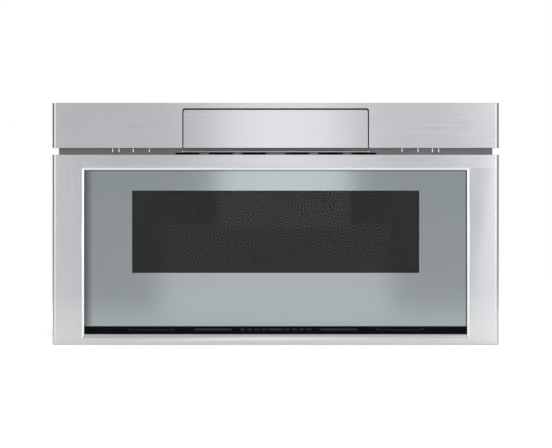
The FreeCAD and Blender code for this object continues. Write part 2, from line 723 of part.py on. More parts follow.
def softened(item, radius, chosen):
    """Rounds the edges of a solid that the test chooses."""
    doc.recompute()
    whole = doc.addObject("Part::Fillet", "softened")
    whole.Base = item
    whole.Edges = [
        (number, radius, radius)
        for number, edge in enumerate(item.Shape.Edges, start=1)
        if chosen(edge)
    ]
    return whole


def upper_corner(item):
    """A test for the edges along Y at the top of a piece."""
    top = item.Shape.BoundBox.ZMax
    return lambda edge: runs_along(edge, "y") and edge.Vertexes[0].Z > top - NEAR


def both(item):
    """A solid and its mirror image as one tool or one piece."""
    return group(item, mirrored(item))


# ================================================================ the case
def make_base_plate():
    body = new_body("base_plate")
    block(body, "XY", middle(HALF_BODY), (PLATE_FRONT, BODY_DEPTH), ("0", "case_sheet"))
    fold_x = ("body_width / 2 - 2 * case_sheet", HALF_INSIDE)
    fold_y = ("case_fold", f"{BODY_DEPTH} - 2 * case_sheet")
    fold_z = ("case_sheet", "case_fold")
    block(body, "YZ", fold_x, fold_y, fold_z)
    block(body, "YZ", flipped(fold_x), fold_y, fold_z)
    rear_y = (f"{BODY_DEPTH} - 2 * case_sheet", f"{BODY_DEPTH} - case_sheet")
    block(body, "XZ", middle("body_width / 2 - 3 * case_fold"), rear_y, fold_z)
    slot_x = ("cavity_width / 2 - louvre_length", "cavity_width / 2")
    slot_y = ("cavity_depth + 2 * case_fold", "cavity_depth + 2 * case_fold + louvre_height")
    cut_one, sketch = opening(body, "XY", slot_x, slot_y, ("0", "case_sheet"))
    row_of(body, cut_one, sketch, "V_Axis", "louvre_pitch", "louvre_count")


CASE_SCREW_Y = f"({BODY_DEPTH} - case_fold / 2)"
CASE_SCREW_LEVELS = ("body_height / 6", "body_height / 2", "body_height * 5 / 6")
CASE_SCREW_TOP_X = "body_width / 4"


def make_outer_case():
    body = new_body("outer_case")
    whole_y = ("0", BODY_DEPTH)
    block(body, "XZ", middle(HALF_BODY), whole_y, ("case_sheet", "body_height"))
    opening(body, "XZ", middle(HALF_INSIDE), whole_y, ("0", CASE_INSIDE_TOP))
    slot_y = (f"{FAN_Y} - louvre_length / 2", f"{FAN_Y} + louvre_length / 2")
    slot_z = ("fan_level - louvre_length", "fan_level - louvre_length + louvre_height")
    cut_one, sketch = opening(body, "YZ", middle(HALF_BODY), slot_y, slot_z)
    row_of(body, cut_one, sketch, "V_Axis", "louvre_pitch", "louvre_count")
    for level in CASE_SCREW_LEVELS:
        bore(body, "YZ", (CASE_SCREW_Y, level), middle(HALF_BODY), "screw_hole")
    for side in ("-", ""):
        where = (f"{side}({CASE_SCREW_TOP_X})", CASE_SCREW_Y)
        bore(body, "XY", where, (CASE_INSIDE_TOP, "body_height"), "screw_hole")


def make_rear_plate():
    body = new_body("rear_plate")
    sheet_y = (f"{BODY_DEPTH} - case_sheet", BODY_DEPTH)
    block(body, "XZ", middle(HALF_INSIDE), sheet_y, ("case_sheet", CASE_INSIDE_TOP))
    fold_y = (f"{BODY_DEPTH} - case_fold", f"{BODY_DEPTH} - case_sheet")
    fold_x = ("body_width / 2 - 2 * case_sheet", HALF_INSIDE)
    fold_z = ("case_fold + case_sheet", "body_height - 2 * case_sheet")
    block(body, "YZ", fold_x, fold_y, fold_z)
    block(body, "YZ", flipped(fold_x), fold_y, fold_z)
    top_z = ("body_height - 2 * case_sheet", CASE_INSIDE_TOP)
    block(body, "XZ", middle(HALF_INSIDE), fold_y, top_z)
    for level in CASE_SCREW_LEVELS:
        bore(body, "YZ", (CASE_SCREW_Y, level), middle(HALF_INSIDE), "screw_hole")
    for side in ("-", ""):
        bore(body, "XY", (f"{side}({CASE_SCREW_TOP_X})", CASE_SCREW_Y), top_z, "screw_hole")
    bore(body, "XZ", ("cord_x", "cord_level"), sheet_y, "cord_hole + fit_gap + housing_wall")
    slot_x = ("-(cavity_width / 2)", "louvre_length - cavity_width / 2")
    slot_z = ("cavity_floor", "cavity_floor + louvre_height")
    cut_one, sketch = opening(body, "XZ", slot_x, sheet_y, slot_z)
    row_of(body, cut_one, sketch, "V_Axis", "louvre_pitch", "louvre_count")


def make_cord_bushing():
    """A grooved plastic ring in the back sheet, with the bore for the supply cord."""
    seat = BODY_DEPTH
    flange = "2 * housing_wall"
    rim = "cord_hole + 3 * housing_wall"
    outside = rod("y", (seat, f"{seat} + {flange}"), "cord_x", "cord_level", rim)
    waist_y = (f"{seat} - case_sheet", seat)
    waist = rod("y", waist_y, "cord_x", "cord_level", "cord_hole + housing_wall")
    inside_y = (f"{seat} - case_sheet - {flange}", f"{seat} - case_sheet")
    inside = rod("y", inside_y, "cord_x", "cord_level", rim)
    hole_y = (inside_y[0], f"{seat} + {flange}")
    hole = rod("y", hole_y, "cord_x", "cord_level", "cord_hole")
    node("cord_bushing", cut(fuse(outside, waist, inside), hole))


def make_case_screws():
    screws = []
    for level in CASE_SCREW_LEVELS:
        side = screw("x", 1, HALF_BODY, CASE_SCREW_Y, level, "3 * case_sheet")
        screws += [side, mirrored(side)]
    top = screw("z", 1, "body_height", CASE_SCREW_TOP_X, CASE_SCREW_Y, "3 * case_sheet")
    screws += [top, mirrored(top)]
    for level in BRACKET_SCREW_LEVELS:
        screws.append(screw("y", 1, "bracket_sheet", BRACKET_SCREW_X, level, "bracket_sheet + 1"))
    for across in BAND_SCREWS:
        under = screw("z", -1, BAND_BOTTOM, across, BAND_SCREW_Y, "skin + bracket_sheet + 1")
        screws += [under, mirrored(under)]
    node("case_screws", group(*screws))


# ================================================================ the mounting plate
RAIL_BACK = "(rail_start + rail_length)"
RAIL_EDGE = "(rail_x - rail_depth)"
SLIDE_X = f"({RAIL_EDGE} + fit_gap)"
BALL_LINE = "(rail_x - ball_x)"
OUTER_INNER_HALF = "(rail_height / 2 - rail_sheet)"
MIDDLE_HALF = f"({OUTER_INNER_HALF} - 2 * ball_radius - 2 * ball_gap)"
INNER_HALF = f"({MIDDLE_HALF} - rail_sheet - 2 * ball_radius - 2 * ball_gap)"
CAGE_BACK = "(cage_start + (ball_count - 1) * ball_pitch + 2 * cage_end)"
ARM_X = (f"{SLIDE_X} - bracket_sheet", SLIDE_X)
ARM_SCREW_X = "(rail_x + arm_screw_x)"
ARM_SCREW_LEVELS = ("rail_level - arm_screw_rise", "rail_level + arm_screw_rise")
RAIL_PASSAGE = (f"{ARM_X[0]} - passage_gap", "rail_x - passage_gap")
DEDENDUM = 1.25
RACK_BACK = f"(rack_x - {DEDENDUM} * gear_module - rack_back)"
RACK_PASSAGE_X = (f"{RACK_BACK} - hole_gap", "rack_x + gear_module + hole_gap")
RACK_PASSAGE_Z = ("rack_low - hole_gap", "rack_low + rack_thickness + hole_gap")
HOUSE_SIDE = f"({HALF_FLAP_HOLE} + fit_gap)"
HALF_HOUSE = f"({HOUSE_SIDE} + 2 * housing_wall)"
HOUSE_BOTTOM = f"({BAND_BOTTOM} + fit_gap)"
HOUSE_TOP = f"({BAND_TOP} - skin - swing_gap)"
HOUSE_REAR_TOP = f"(min(body_height - case_sheet; {PLATE_TOP} - plate_rim) - 2 * fit_gap)"
STRIKER_X = "(rail_x + striker_x)"
STRIKER_SCREW_X = f"({STRIKER_X} + striker_screw_x)"
STRIKER_LEVELS = tuple(f"(striker_low + {number} * striker_pitch)" for number in range(3))
BRACKET_SCREW_LEVELS = tuple(f"({level} + striker_pitch / 2)" for level in STRIKER_LEVELS[:2])
BRACKET_SCREW_X = "(rail_x + bracket_screw_x)"
BAND_SCREWS = ("band_screw_inner", "band_screw_outer")
BAND_SCREW_Y = "(-front_depth / 2)"


def make_front_plate():
    body = new_body("front_plate")
    sheet_y = (PLATE_FRONT, "0")
    block(body, "XZ", middle(HALF_PLATE), sheet_y, ("case_sheet", PLATE_TOP))
    opening(body, "XZ", middle(HALF_CAVITY), sheet_y, ("cavity_floor", CAVITY_TOP))
    passage_z = around("rail_level", f"{MIDDLE_HALF} + passage_gap")
    opening(body, "XZ", RAIL_PASSAGE, sheet_y, passage_z)
    opening(body, "XZ", flipped(RAIL_PASSAGE), sheet_y, passage_z)
    opening(body, "XZ", RACK_PASSAGE_X, sheet_y, RACK_PASSAGE_Z)
    console_z = (f"{HOUSE_BOTTOM} - fit_gap", f"{HOUSE_REAR_TOP} + fit_gap")
    opening(body, "XZ", middle(f"{HALF_HOUSE} + fit_gap"), sheet_y, console_z)
    across = around(STRIKER_X, "tongue_width / 2 + hole_gap")
    for level in STRIKER_LEVELS:
        opening(body, "XZ", across, sheet_y, around(level, "tongue_height / 2 + hole_gap"))
    for level in BRACKET_SCREW_LEVELS:
        bore(body, "XZ", (BRACKET_SCREW_X, level), sheet_y, "screw_hole")
    for side in ("-", ""):
        for level in ("mount_hole_low", "mount_hole_high"):
            where = (f"{side}({HALF_PLATE} - mount_hole_inset)", level)
            bore(body, "XZ", where, sheet_y, "mount_hole_radius")
    slot_z = f"({DRAWER_TOP} + slot_rise + slot_height / 2)"
    for side in ("-", ""):
        for number in range(int(size("slot_count"))):
            span = around(f"{side}(slot_first + {number} * slot_pitch)", "slot_length / 2")
            sketch = rounded_slot(body, "XZ_Plane", span, slot_z, f"-{PLATE_FRONT}", "slot_height / 2")
            pocket(body, sketch, "plate_thickness")


# ================================================================ the oven
def make_cavity_box():
    outer = slab(
        middle(f"{HALF_CAVITY} + cavity_wall"),
        ("0", "cavity_depth + cavity_wall"),
        ("cavity_floor - cavity_wall", f"{CAVITY_TOP} + cavity_wall"),
    )
    rim = slab(
        middle(f"{HALF_CAVITY} + cavity_rim"),
        ("0", "cavity_wall"),
        ("cavity_floor - cavity_rim", f"{CAVITY_TOP} + cavity_rim"),
    )
    pot_z = (GUIDE_TOP, "cavity_floor")
    pot = rod("z", pot_z, "0", "antenna_y", "recess_radius + cavity_wall")
    inner = slab(middle(HALF_CAVITY), ("0", "cavity_depth"), ("cavity_floor", CAVITY_TOP))
    recess_z = (f"{GUIDE_TOP} + cavity_wall", "cavity_floor")
    recess = rod("z", recess_z, "0", "antenna_y", "recess_radius")
    hub = rod("z", (GUIDE_TOP, "cavity_floor"), "0", "antenna_y", "launch_radius")
    vents = []
    for number in range(int(size("louvre_count"))):
        start = f"(cavity_depth / 2 + {number} * louvre_pitch)"
        span_y = (start, f"{start} + louvre_height")
        span_z = (f"{CAVITY_TOP} - louvre_length / 2", f"{CAVITY_TOP} - louvre_height * 2")
        vents.append(slab(middle(f"{HALF_CAVITY} + 2 * cavity_wall"), span_y, span_z))
    node("cavity_box", cut(fuse(outer, rim, pot), inner, recess, hub, *vents))


def make_antenna_cover():
    cover_z = ("cavity_floor", "cavity_floor + cover_sheet")
    node("antenna_cover", rod("z", cover_z, "0", "antenna_y", "recess_radius + cover_ledge"))


def make_waveguide():
    guide_y = ("antenna_y - guide_width / 2", f"{MAGNETRON_Y} + guide_width / 2")
    outer = slab(middle("guide_width / 2"), guide_y, ("guide_low", GUIDE_TOP))
    inner = slab(
        middle("guide_width / 2 - guide_sheet"),
        (f"{guide_y[0]} + guide_sheet", f"{guide_y[1]} - guide_sheet"),
        ("guide_low + guide_sheet", f"{GUIDE_TOP} - guide_sheet"),
    )
    above = (f"{GUIDE_TOP} - guide_sheet", GUIDE_TOP)
    hub = rod("z", above, "0", "antenna_y", "launch_radius")
    dome = rod("z", above, "0", MAGNETRON_Y, "launch_radius")
    shaft_z = ("guide_low", "guide_low + guide_sheet")
    shaft = rod("z", shaft_z, "0", "antenna_y", "shaft_radius + hole_gap")
    node("waveguide", cut(outer, inner, hub, dome, shaft))


def make_magnetron():
    """Its yoke is open on both sides for the cooling air, with the dome in the waveguide."""
    flange_top = f"({GUIDE_TOP} + flange_sheet)"
    yoke_top = f"({flange_top} + yoke_height)"
    yoke_y = around(MAGNETRON_Y, "yoke_depth / 2")
    flange_y = around(MAGNETRON_Y, "guide_width / 2")
    flange = slab(middle("guide_width / 2"), flange_y, (GUIDE_TOP, flange_top))
    yoke = slab(middle("yoke_width / 2"), yoke_y, (flange_top, yoke_top))
    tunnel = slab(
        middle("yoke_width"),
        around(MAGNETRON_Y, "yoke_depth / 2 - yoke_sheet"),
        (f"{flange_top} + yoke_sheet", f"{yoke_top} - yoke_sheet"),
    )
    anode = rod("z", (flange_top, yoke_top), "0", MAGNETRON_Y, "anode_radius")
    fins = []
    fin_x = middle("yoke_width / 2 - yoke_sheet")
    fin_y = around(MAGNETRON_Y, "yoke_depth / 2 - yoke_sheet / 2")
    for number in range(int(size("fin_count"))):
        low = f"({flange_top} + fin_first + {number} * fin_pitch)"
        fins.append(slab(fin_x, fin_y, (low, f"{low} + fin_sheet")))
    magnets = [
        rod("z", span, "0", MAGNETRON_Y, "magnet_radius")
        for span in (
            (flange_top, f"{flange_top} + magnet_height"),
            (f"{yoke_top} - magnet_height", yoke_top),
        )
    ]
    box_z = (yoke_top, f"{yoke_top} + choke_box_height")
    box = slab(middle("choke_box_width / 2"), yoke_y, box_z)
    dome_z = (f"{GUIDE_TOP} - dome_length", flange_top)
    dome = rod("z", dome_z, "0", MAGNETRON_Y, "launch_radius / 2")
    node("magnetron", fuse(flange, cut(yoke, tunnel), anode, *fins, *magnets, box, dome))


ANTENNA_SLOT_DEGREES = (20, 110, 200, 290)


def make_antenna_rotor():
    """The turning antenna: a slotted disc, and a hub down through the waveguide to its motor."""
    low = f"({GUIDE_TOP} + antenna_rise)"
    disc_z = (low, f"{low} + antenna_sheet")
    disc = rod("z", disc_z, "0", "antenna_y", "antenna_radius")
    slot_x = ("antenna_radius / 3", "antenna_radius * 5 / 6")
    slots = []
    for degrees in ANTENNA_SLOT_DEGREES:
        slot = doc.addObject("Part::Compound", "turned_slot")
        slot.Links = [slab(slot_x, middle("antenna_slot / 2"), disc_z)]
        slot.Placement.Rotation = FreeCAD.Rotation(Vector(0, 0, 1), degrees)
        slot.setExpression("Placement.Base.y", ex("antenna_y"))
        slots.append(slot)
    hub_z = ("guide_low + guide_sheet + hub_gap", low)
    hub = rod("z", hub_z, "0", "antenna_y", "launch_radius / 2")
    shaft = rod("z", ("guide_low - shaft_depth", low), "0", "antenna_y", "shaft_radius")
    node("antenna_rotor", fuse(cut(disc, *slots), hub, shaft))


def make_antenna_motor():
    case_y = around("antenna_y", "turner_width / 2")
    case = slab(middle("turner_width / 2"), case_y, ("guide_low - turner_height", "guide_low"))
    ear_y = around("antenna_y", "turner_width / 8")
    ears = slab(middle("turner_width * 3 / 4"), ear_y, ("guide_low - bracket_sheet", "guide_low"))
    hole_z = ("guide_low - shaft_depth - hub_gap", "guide_low")
    hole = rod("z", hole_z, "0", "antenna_y", "shaft_radius + shaft_gap")
    node("antenna_motor", cut(fuse(case, ears), hole))


# ================================================================ the electric parts
def make_hv_transformer():
    """A laminated core with two windings round its middle leg."""
    centre = "-(cavity_width * 5 / 8)"
    core_z = (FOOT_TOP, f"{FOOT_TOP} + core_height")
    core = slab(around(centre, "core_width / 2"), around(MACHINE_Y, "core_depth / 2"), core_z)
    feet_x = around(centre, "core_width / 2 + core_foot / 2")
    feet_y = around(MACHINE_Y, "core_depth / 2 + core_foot")
    feet = slab(feet_x, feet_y, ("case_sheet", FOOT_TOP))
    windings = []
    for number in range(2):
        low = f"({FOOT_TOP} + winding_first + {number} * winding_pitch)"
        winding = slab(
            around(centre, "winding_width / 2"),
            around(MACHINE_Y, "winding_depth / 2"),
            (low, f"{low} + winding_height"),
        )
        corner = size("winding_corner")
        windings.append(softened(winding, corner, lambda edge: runs_along(edge, "z")))
    node("hv_transformer", fuse(core, feet, *windings))


def make_hv_capacitor():
    """An oval can strapped to the floor, with two terminals and the diode beside it."""
    left = "-(cavity_width * 3 / 8 + can_flat / 2)"
    right = "-(cavity_width * 3 / 8 - can_flat / 2)"
    can_z = (FOOT_TOP, f"{FOOT_TOP} + can_height")
    can = fuse(
        slab((left, right), around(MACHINE_Y, "can_radius"), can_z),
        rod("z", can_z, left, MACHINE_Y, "can_radius"),
        rod("z", can_z, right, MACHINE_Y, "can_radius"),
    )
    foot_x = (f"{left} - strap_reach", f"{right} + strap_reach")
    foot = slab(foot_x, around(MACHINE_Y, "strap_width / 2"), ("case_sheet", FOOT_TOP))
    top = (can_z[1], f"{can_z[1]} + terminal_height")
    terminals = [
        slab(around(x, "terminal_width / 2"), around(MACHINE_Y, "terminal_width / 6"), top)
        for x in (left, right)
    ]
    diode_x = (f"{foot_x[1]} - diode_length - bracket_sheet", f"{foot_x[1]} - bracket_sheet")
    diode_level = f"{FOOT_TOP} + diode_radius * 9 / 10"
    diode = rod("x", diode_x, MACHINE_Y, diode_level, "diode_radius")
    node("hv_capacitor", fuse(can, foot, diode, *terminals))


FAN_PLATE = ("fan_x", "fan_x + housing_wall")
FAN_MOTOR_FRONT = "(fan_x + housing_wall + fan_depth)"
BLADE_COUNT = 5
BLADE_DEGREES = 38
BLADE_CHORD = 1.5


def make_fan_shroud():
    """A moulded plate with a ring for the fan, a duct to the magnetron and the motor's bridge."""
    half = "(fan_radius + fan_gap + shroud_border)"
    y = around(FAN_Y, half)
    plate = slab(FAN_PLATE, y, ("case_sheet", f"fan_level + {half}"))
    foot_z = ("case_sheet", "case_sheet + housing_wall")
    foot = slab(("fan_x - shroud_foot", FAN_PLATE[1]), y, foot_z)
    edge = "(fan_radius + fan_gap + housing_wall)"
    ring = rod("x", ("fan_x", f"{FAN_MOTOR_FRONT} - ring_gap"), FAN_Y, "fan_level", edge)
    hole = rod("x", ("fan_x", FAN_MOTOR_FRONT), FAN_Y, "fan_level", "fan_radius + fan_gap")
    duct_x = ("guide_width / 2 + hub_gap", "fan_x")
    duct_low = f"({GUIDE_TOP} + 2 * flange_sheet)"
    duct_high = f"({duct_low} + duct_height)"
    duct = cut(
        slab(duct_x, around(MAGNETRON_Y, "guide_width / 2"), (duct_low, duct_high)),
        slab(duct_x, around(MAGNETRON_Y, "guide_width / 2 - housing_wall"),
             (f"{duct_low} + housing_wall", f"{duct_high} - housing_wall")),
    )
    bridge_z = around("fan_level", "bridge_width / 2")
    posts = [
        slab((FAN_PLATE[1], FAN_MOTOR_FRONT), around(f"{FAN_Y} {side} {edge}", "bridge_post / 2"), bridge_z)
        for side in ("-", "+")
    ]
    bridge_x = (FAN_MOTOR_FRONT, f"{FAN_MOTOR_FRONT} + housing_wall")
    bridge = cut(
        slab(bridge_x, around(FAN_Y, f"{edge} + bridge_post / 2"), bridge_z),
        rod("x", bridge_x, FAN_Y, "fan_level", "shaft_radius + hub_gap"),
    )
    wall = cut(fuse(plate, ring), hole)
    node("fan_shroud", fuse(wall, foot, duct, *posts, bridge))


def make_fan_motor():
    seat = f"({FAN_MOTOR_FRONT} + housing_wall)"
    stator_top = "(fan_level + stator_height / 2)"
    stator = slab(
        (seat, f"{seat} + stator_depth"),
        around(FAN_Y, "stator_width / 2"),
        (f"{stator_top} - stator_height", stator_top),
    )
    coil = slab(
        (f"{seat} + coil_inset", f"{seat} + stator_depth - coil_inset"),
        around(FAN_Y, "coil_width / 2"),
        (stator_top, f"{stator_top} + coil_height"),
    )
    hole_x = (seat, f"{seat} + fan_shaft_in + wheel_gap")
    hole = rod("x", hole_x, FAN_Y, "fan_level", "shaft_radius / 2 + shaft_gap")
    node("fan_motor", cut(fuse(stator, coil), hole))


def make_fan_wheel():
    """Five twisted blades on a hub, its shaft in the motor."""
    depth = size("blade_depth")
    thickness = size("blade_sheet")
    radius = size("fan_radius")
    around_x = Vector(1, 0, 0)
    origin = Vector(0, 0, 0)
    chord = depth * BLADE_CHORD
    blades = []
    for number in range(BLADE_COUNT):
        corner = Vector(-chord / 2, 0, -thickness / 2)
        blade = Part.makeBox(chord, radius - size("blade_sheet"), thickness, corner)
        blade.rotate(origin, Vector(0, 1, 0), BLADE_DEGREES)
        blade.rotate(origin, around_x, 360 / BLADE_COUNT * number)
        blades.append(blade)
    back = Vector(-depth / 2, 0, 0)
    hub = Part.makeCylinder(size("fan_hub"), depth, back, around_x)
    rim = Part.makeCylinder(radius, depth, back, around_x)
    bridge = size("fan_depth") - size("wheel_gap") + size("housing_wall")
    shaft = Part.makeCylinder(size("shaft_radius") / 2, bridge + size("fan_shaft_in"), back, around_x)
    wheel = hub.fuse(blades).common(rim).fuse(shaft).removeSplitter()
    front = size("fan_x") + size("housing_wall") + size("wheel_gap")
    place = (front + depth / 2, size("cavity_depth") + size("fan_back"), size("fan_level"))
    node("fan_wheel", computed("fan_wheel", wheel, place))


# Each part of the power board: its left and front edges, width and depth as shares of the
# board, and its height in standoffs.
BOARD_PARTS = {
    "relay_one": (0.068, 0.142, 0.068, 0.132, 1.5),
    "relay_two": (0.17, 0.142, 0.068, 0.132, 1.5),
    "relay_three": (0.27, 0.142, 0.068, 0.132, 1.5),
    "small_transformer": (0.1, 0.425, 0.156, 0.189, 2.8),
    "heat_sink": (0.37, 0.425, 0.204, 0.066, 2),
    "line_choke": (0.646, 0.189, 0.116, 0.16, 2.2),
    "socket": (0.646, 0.566, 0.082, 0.283, 1),
}


def make_power_board():
    """The power and control board on four standoffs on top of the oven."""
    seat = f"({CAVITY_TOP} + cavity_wall)"
    low = f"({seat} + standoff)"
    top = f"({low} + board_thickness)"
    x = ("(30 / 220 * cavity_width / 2 - cavity_width / 2)", "(cavity_width / 4)")
    y = ("(cavity_depth / 6)", "(cavity_depth * 2 / 3)")
    parts = [slab(x, y, (low, top))]
    for across in (f"{x[0]} + standoff_inset", f"{x[1]} - standoff_inset"):
        for along in (f"{y[0]} + standoff_inset", f"{y[1]} - standoff_inset"):
            parts.append(rod("z", (seat, low), across, along, "standoff_radius"))
    wide = f"({x[1]} - {x[0]})"
    deep = f"({y[1]} - {y[0]})"
    for name, (left, front, width, depth, height) in BOARD_PARTS.items():
        part = slab(
            (f"{x[0]} + {left} * {wide}", f"{x[0]} + {left + width} * {wide}"),
            (f"{y[0]} + {front} * {deep}", f"{y[0]} + {front + depth} * {deep}"),
            (top, f"{top} + {height} * standoff"),
        )
        part.Label = name
        parts.append(part)
    node("power_board", fuse(*parts))


def make_noise_filter():
    seat = f"({CAVITY_TOP} + cavity_wall)"
    low = f"({seat} + standoff_inset)"
    top = f"({low} + board_thickness)"
    x = ("(cavity_width / 2 - standoff_inset - filter_width)", "(cavity_width / 2 - standoff_inset)")
    y = ("(cavity_depth / 4)", "(cavity_depth / 4 + filter_depth)")
    parts = [slab(x, y, (low, top))]
    for across in (f"{x[0]} + standoff_inset", f"{x[1]} - standoff_inset"):
        for along in (f"{y[0]} + standoff_inset", f"{y[1]} - standoff_inset"):
            parts.append(rod("z", (seat, low), across, along, "standoff_radius"))
    inside_x = (f"{x[0]} + standoff", f"{x[1]} - standoff")
    choke_y = f"{y[0]} + filter_choke_y"
    choke_level = f"{top} + filter_choke_radius * 98 / 100"
    parts.append(rod("x", inside_x, choke_y, choke_level, "filter_choke_radius"))
    cap_y = f"({y[0]} + filter_cap_y)"
    parts.append(slab(inside_x, (cap_y, f"{cap_y} + filter_cap_depth"), (top, f"{top} + filter_cap_height")))
    node("noise_filter", fuse(*parts))


def make_cavity_lamp():
    seat = f"({HALF_CAVITY} + cavity_wall)"
    front = "(cavity_depth * 2 / 3)"
    top = f"({CAVITY_TOP} - lamp_drop)"
    end = f"({seat} + lamp_width)"
    box = slab((seat, end), (front, f"{front} + lamp_depth"), (f"{top} - lamp_height", top))
    middle_y = f"{front} + lamp_depth / 2"
    cap = rod("x", (end, f"{end} + lamp_cap"), middle_y, f"{top} - lamp_height / 2", "lamp_radius")
    node("cavity_lamp", fuse(box, cap))


def make_thermal_cutouts():
    seat = f"({CAVITY_TOP} + cavity_wall)"
    ear_top = f"({seat} + cavity_wall)"
    disc_y = "(cavity_depth * 5 / 6)"
    body = rod("z", (ear_top, f"{seat} + cutout_height"), "cutout_x", disc_y, "cutout_radius")
    ears = slab(around("cutout_x", "cutout_ear"), around(disc_y, "cutout_ear_width / 2"), (seat, ear_top))
    node("thermal_cutouts", both(fuse(body, ears)))


def make_interlock():
    """Three door switches on a bracket behind the mounting plate, each with its plunger."""
    case_start = f"({STRIKER_X} - switch_width / 2)"
    plate_x = (f"{case_start} - bracket_sheet", case_start)
    z = (f"{STRIKER_LEVELS[0]} - switch_margin", f"{STRIKER_LEVELS[2]} + switch_margin")
    side = slab(plate_x, ("0", "switch_plate_depth"), z)
    foot = slab(("rail_x + bracket_sheet", case_start), ("0", "bracket_sheet"), z)
    holes = [
        rod("y", ("0", "bracket_sheet"), BRACKET_SCREW_X, level, "screw_hole")
        for level in BRACKET_SCREW_LEVELS
    ]
    node("interlock_bracket", cut(fuse(side, foot), *holes))
    cases = []
    plungers = []
    front = "(striker_reach + hole_gap)"
    tip = "(striker_reach + fit_gap)"
    for level in STRIKER_LEVELS:
        case = slab(
            (case_start, f"{case_start} + switch_width"),
            (front, f"{front} + switch_depth"),
            around(level, "switch_height / 2"),
        )
        socket_y = (front, f"{front} + plunger_in + plunger_radius * 2")
        socket = rod("y", socket_y, STRIKER_X, level, "plunger_radius + shaft_gap")
        cases.append(cut(case, socket))
        plunger_y = (tip, f"{front} + plunger_in")
        plungers.append(rod("y", plunger_y, STRIKER_X, level, "plunger_radius"))
    node("interlock_switches", group(*cases))
    node("switch_plungers", group(*plungers))


def make_striker():
    foot_y = (PANEL_BACK, COVER_BACK)
    foot_x = (f"{STRIKER_X} - switch_margin", f"{STRIKER_SCREW_X} + striker_border")
    foot_z = (f"{STRIKER_LEVELS[0]} - striker_border", f"{STRIKER_LEVELS[2]} + striker_border")
    foot = slab(foot_x, foot_y, foot_z)
    tongue_x = around(STRIKER_X, "tongue_width / 2")
    tongues = [
        slab(tongue_x, (COVER_BACK, "striker_reach"), around(level, "tongue_height / 2"))
        for level in STRIKER_LEVELS
    ]
    holes = [
        rod("y", foot_y, STRIKER_SCREW_X, level, "screw_hole")
        for level in BRACKET_SCREW_LEVELS
    ]
    node("striker", cut(fuse(foot, *tongues), *holes))


# ================================================================ the telescopic rails
def channel(web, flange_end, y, half):
    """A C-shaped rail: its web over an X span, and two flanges that reach inward to flange_end."""
    web_part = slab(web, y, (f"rail_level - {half}", f"rail_level + {half}"))
    lower = slab((flange_end, web[1]), y, (f"rail_level - {half}", f"rail_level - {half} + rail_sheet"))
    upper = slab((flange_end, web[1]), y, (f"rail_level + {half} - rail_sheet", f"rail_level + {half}"))
    return fuse(web_part, lower, upper)


def make_rails():
    fixed_y = ("rail_start", RAIL_BACK)
    outer = channel(("rail_x - rail_sheet", "rail_x"), RAIL_EDGE, fixed_y, "rail_height / 2")
    node("outer_rail_right", outer)
    node("outer_rail_left", mirrored(outer))
    middle_web = ("rail_x - rail_step - rail_sheet", "rail_x - rail_step")
    middle_y = ("rail_start + rail_sheet", f"{RAIL_BACK} - rail_step - rail_sheet")
    middle_rail = channel(middle_web, SLIDE_X, middle_y, MIDDLE_HALF)
    node("middle_rail_right", middle_rail)
    node("middle_rail_left", mirrored(middle_rail))
    inner_y = (COVER_BACK, f"{RAIL_BACK} - inner_setback")
    web_x = (SLIDE_X, f"{SLIDE_X} + rail_sheet")
    flange_x = (SLIDE_X, "rail_x - rail_step - 2 * rail_sheet - fit_gap / 3")
    web_z = around("rail_level", INNER_HALF)
    inner = fuse(
        slab(web_x, inner_y, web_z),
        slab(flange_x, inner_y, (web_z[0], f"{web_z[0]} + rail_sheet")),
        slab(flange_x, inner_y, (f"{web_z[1]} - rail_sheet", web_z[1])),
    )
    node("inner_rail_right", inner)
    node("inner_rail_left", mirrored(inner))
    outer_line = f"({OUTER_INNER_HALF} - ball_gap - ball_radius)"
    inner_line = f"({MIDDLE_HALF} - rail_sheet - ball_gap - ball_radius)"
    outer_web = "(rail_x - rail_sheet - cage_gap)"
    inner_web = "(rail_x - rail_step - rail_sheet - cage_gap)"
    node("outer_ball_cages", cage((f"{outer_web} - cage_sheet", outer_web), outer_line))
    node("inner_ball_cages", cage((f"{inner_web} - cage_sheet", inner_web), inner_line))


def cage(web, line):
    """The ball cage of one pair of rails on both sides of the oven, with its balls."""
    y = ("cage_start", CAGE_BACK)
    web_part = slab(web, y, around("rail_level", line))
    strip_x = (f"{BALL_LINE} - ball_radius - cage_sheet", web[1])
    strips = []
    balls = []
    holes = []
    for side in ("-", "+"):
        level = f"(rail_level {side} {line})"
        strips.append(slab(strip_x, y, around(level, "cage_sheet / 2")))
        for number in range(int(size("ball_count"))):
            along = f"(cage_start + cage_end + {number} * ball_pitch)"
            balls.append(ball(BALL_LINE, along, level, "ball_radius"))
            hole_z = around(level, "ball_radius / 2")
            holes.append(rod("z", hole_z, BALL_LINE, along, "ball_radius + ball_gap"))
    half = group(cut(fuse(web_part, *strips), *holes), *balls)
    return both(half)


def make_rail_brackets():
    """Two steel angles on the floor of the case that carry the fixed rails."""
    y = ("rail_start", RAIL_BACK)
    upright_z = ("case_sheet", "rail_level + rail_height / 2")
    upright = slab(("rail_x", "rail_x + bracket_sheet"), y, upright_z)
    foot = slab(("rail_x", "rail_x + bracket_foot"), y, ("case_sheet", "case_sheet + bracket_sheet"))
    node("rail_brackets", both(fuse(upright, foot)))


def make_rail_arms():
    """Two angles that screw to the back of the drawer front and hold the sliding rails."""
    leg = slab(ARM_X, (COVER_BACK, "arm_length"), around("rail_level", "arm_height / 2"))
    foot_y = (PANEL_BACK, COVER_BACK)
    foot_x = (ARM_X[0], f"{ARM_SCREW_X} + arm_border")
    foot = slab(foot_x, foot_y, around("rail_level", "arm_screw_rise + arm_border"))
    holes = [
        rod("y", foot_y, ARM_SCREW_X, level, "screw_hole")
        for level in ARM_SCREW_LEVELS
    ]
    node("rail_arms", both(cut(fuse(leg, foot), *holes)))


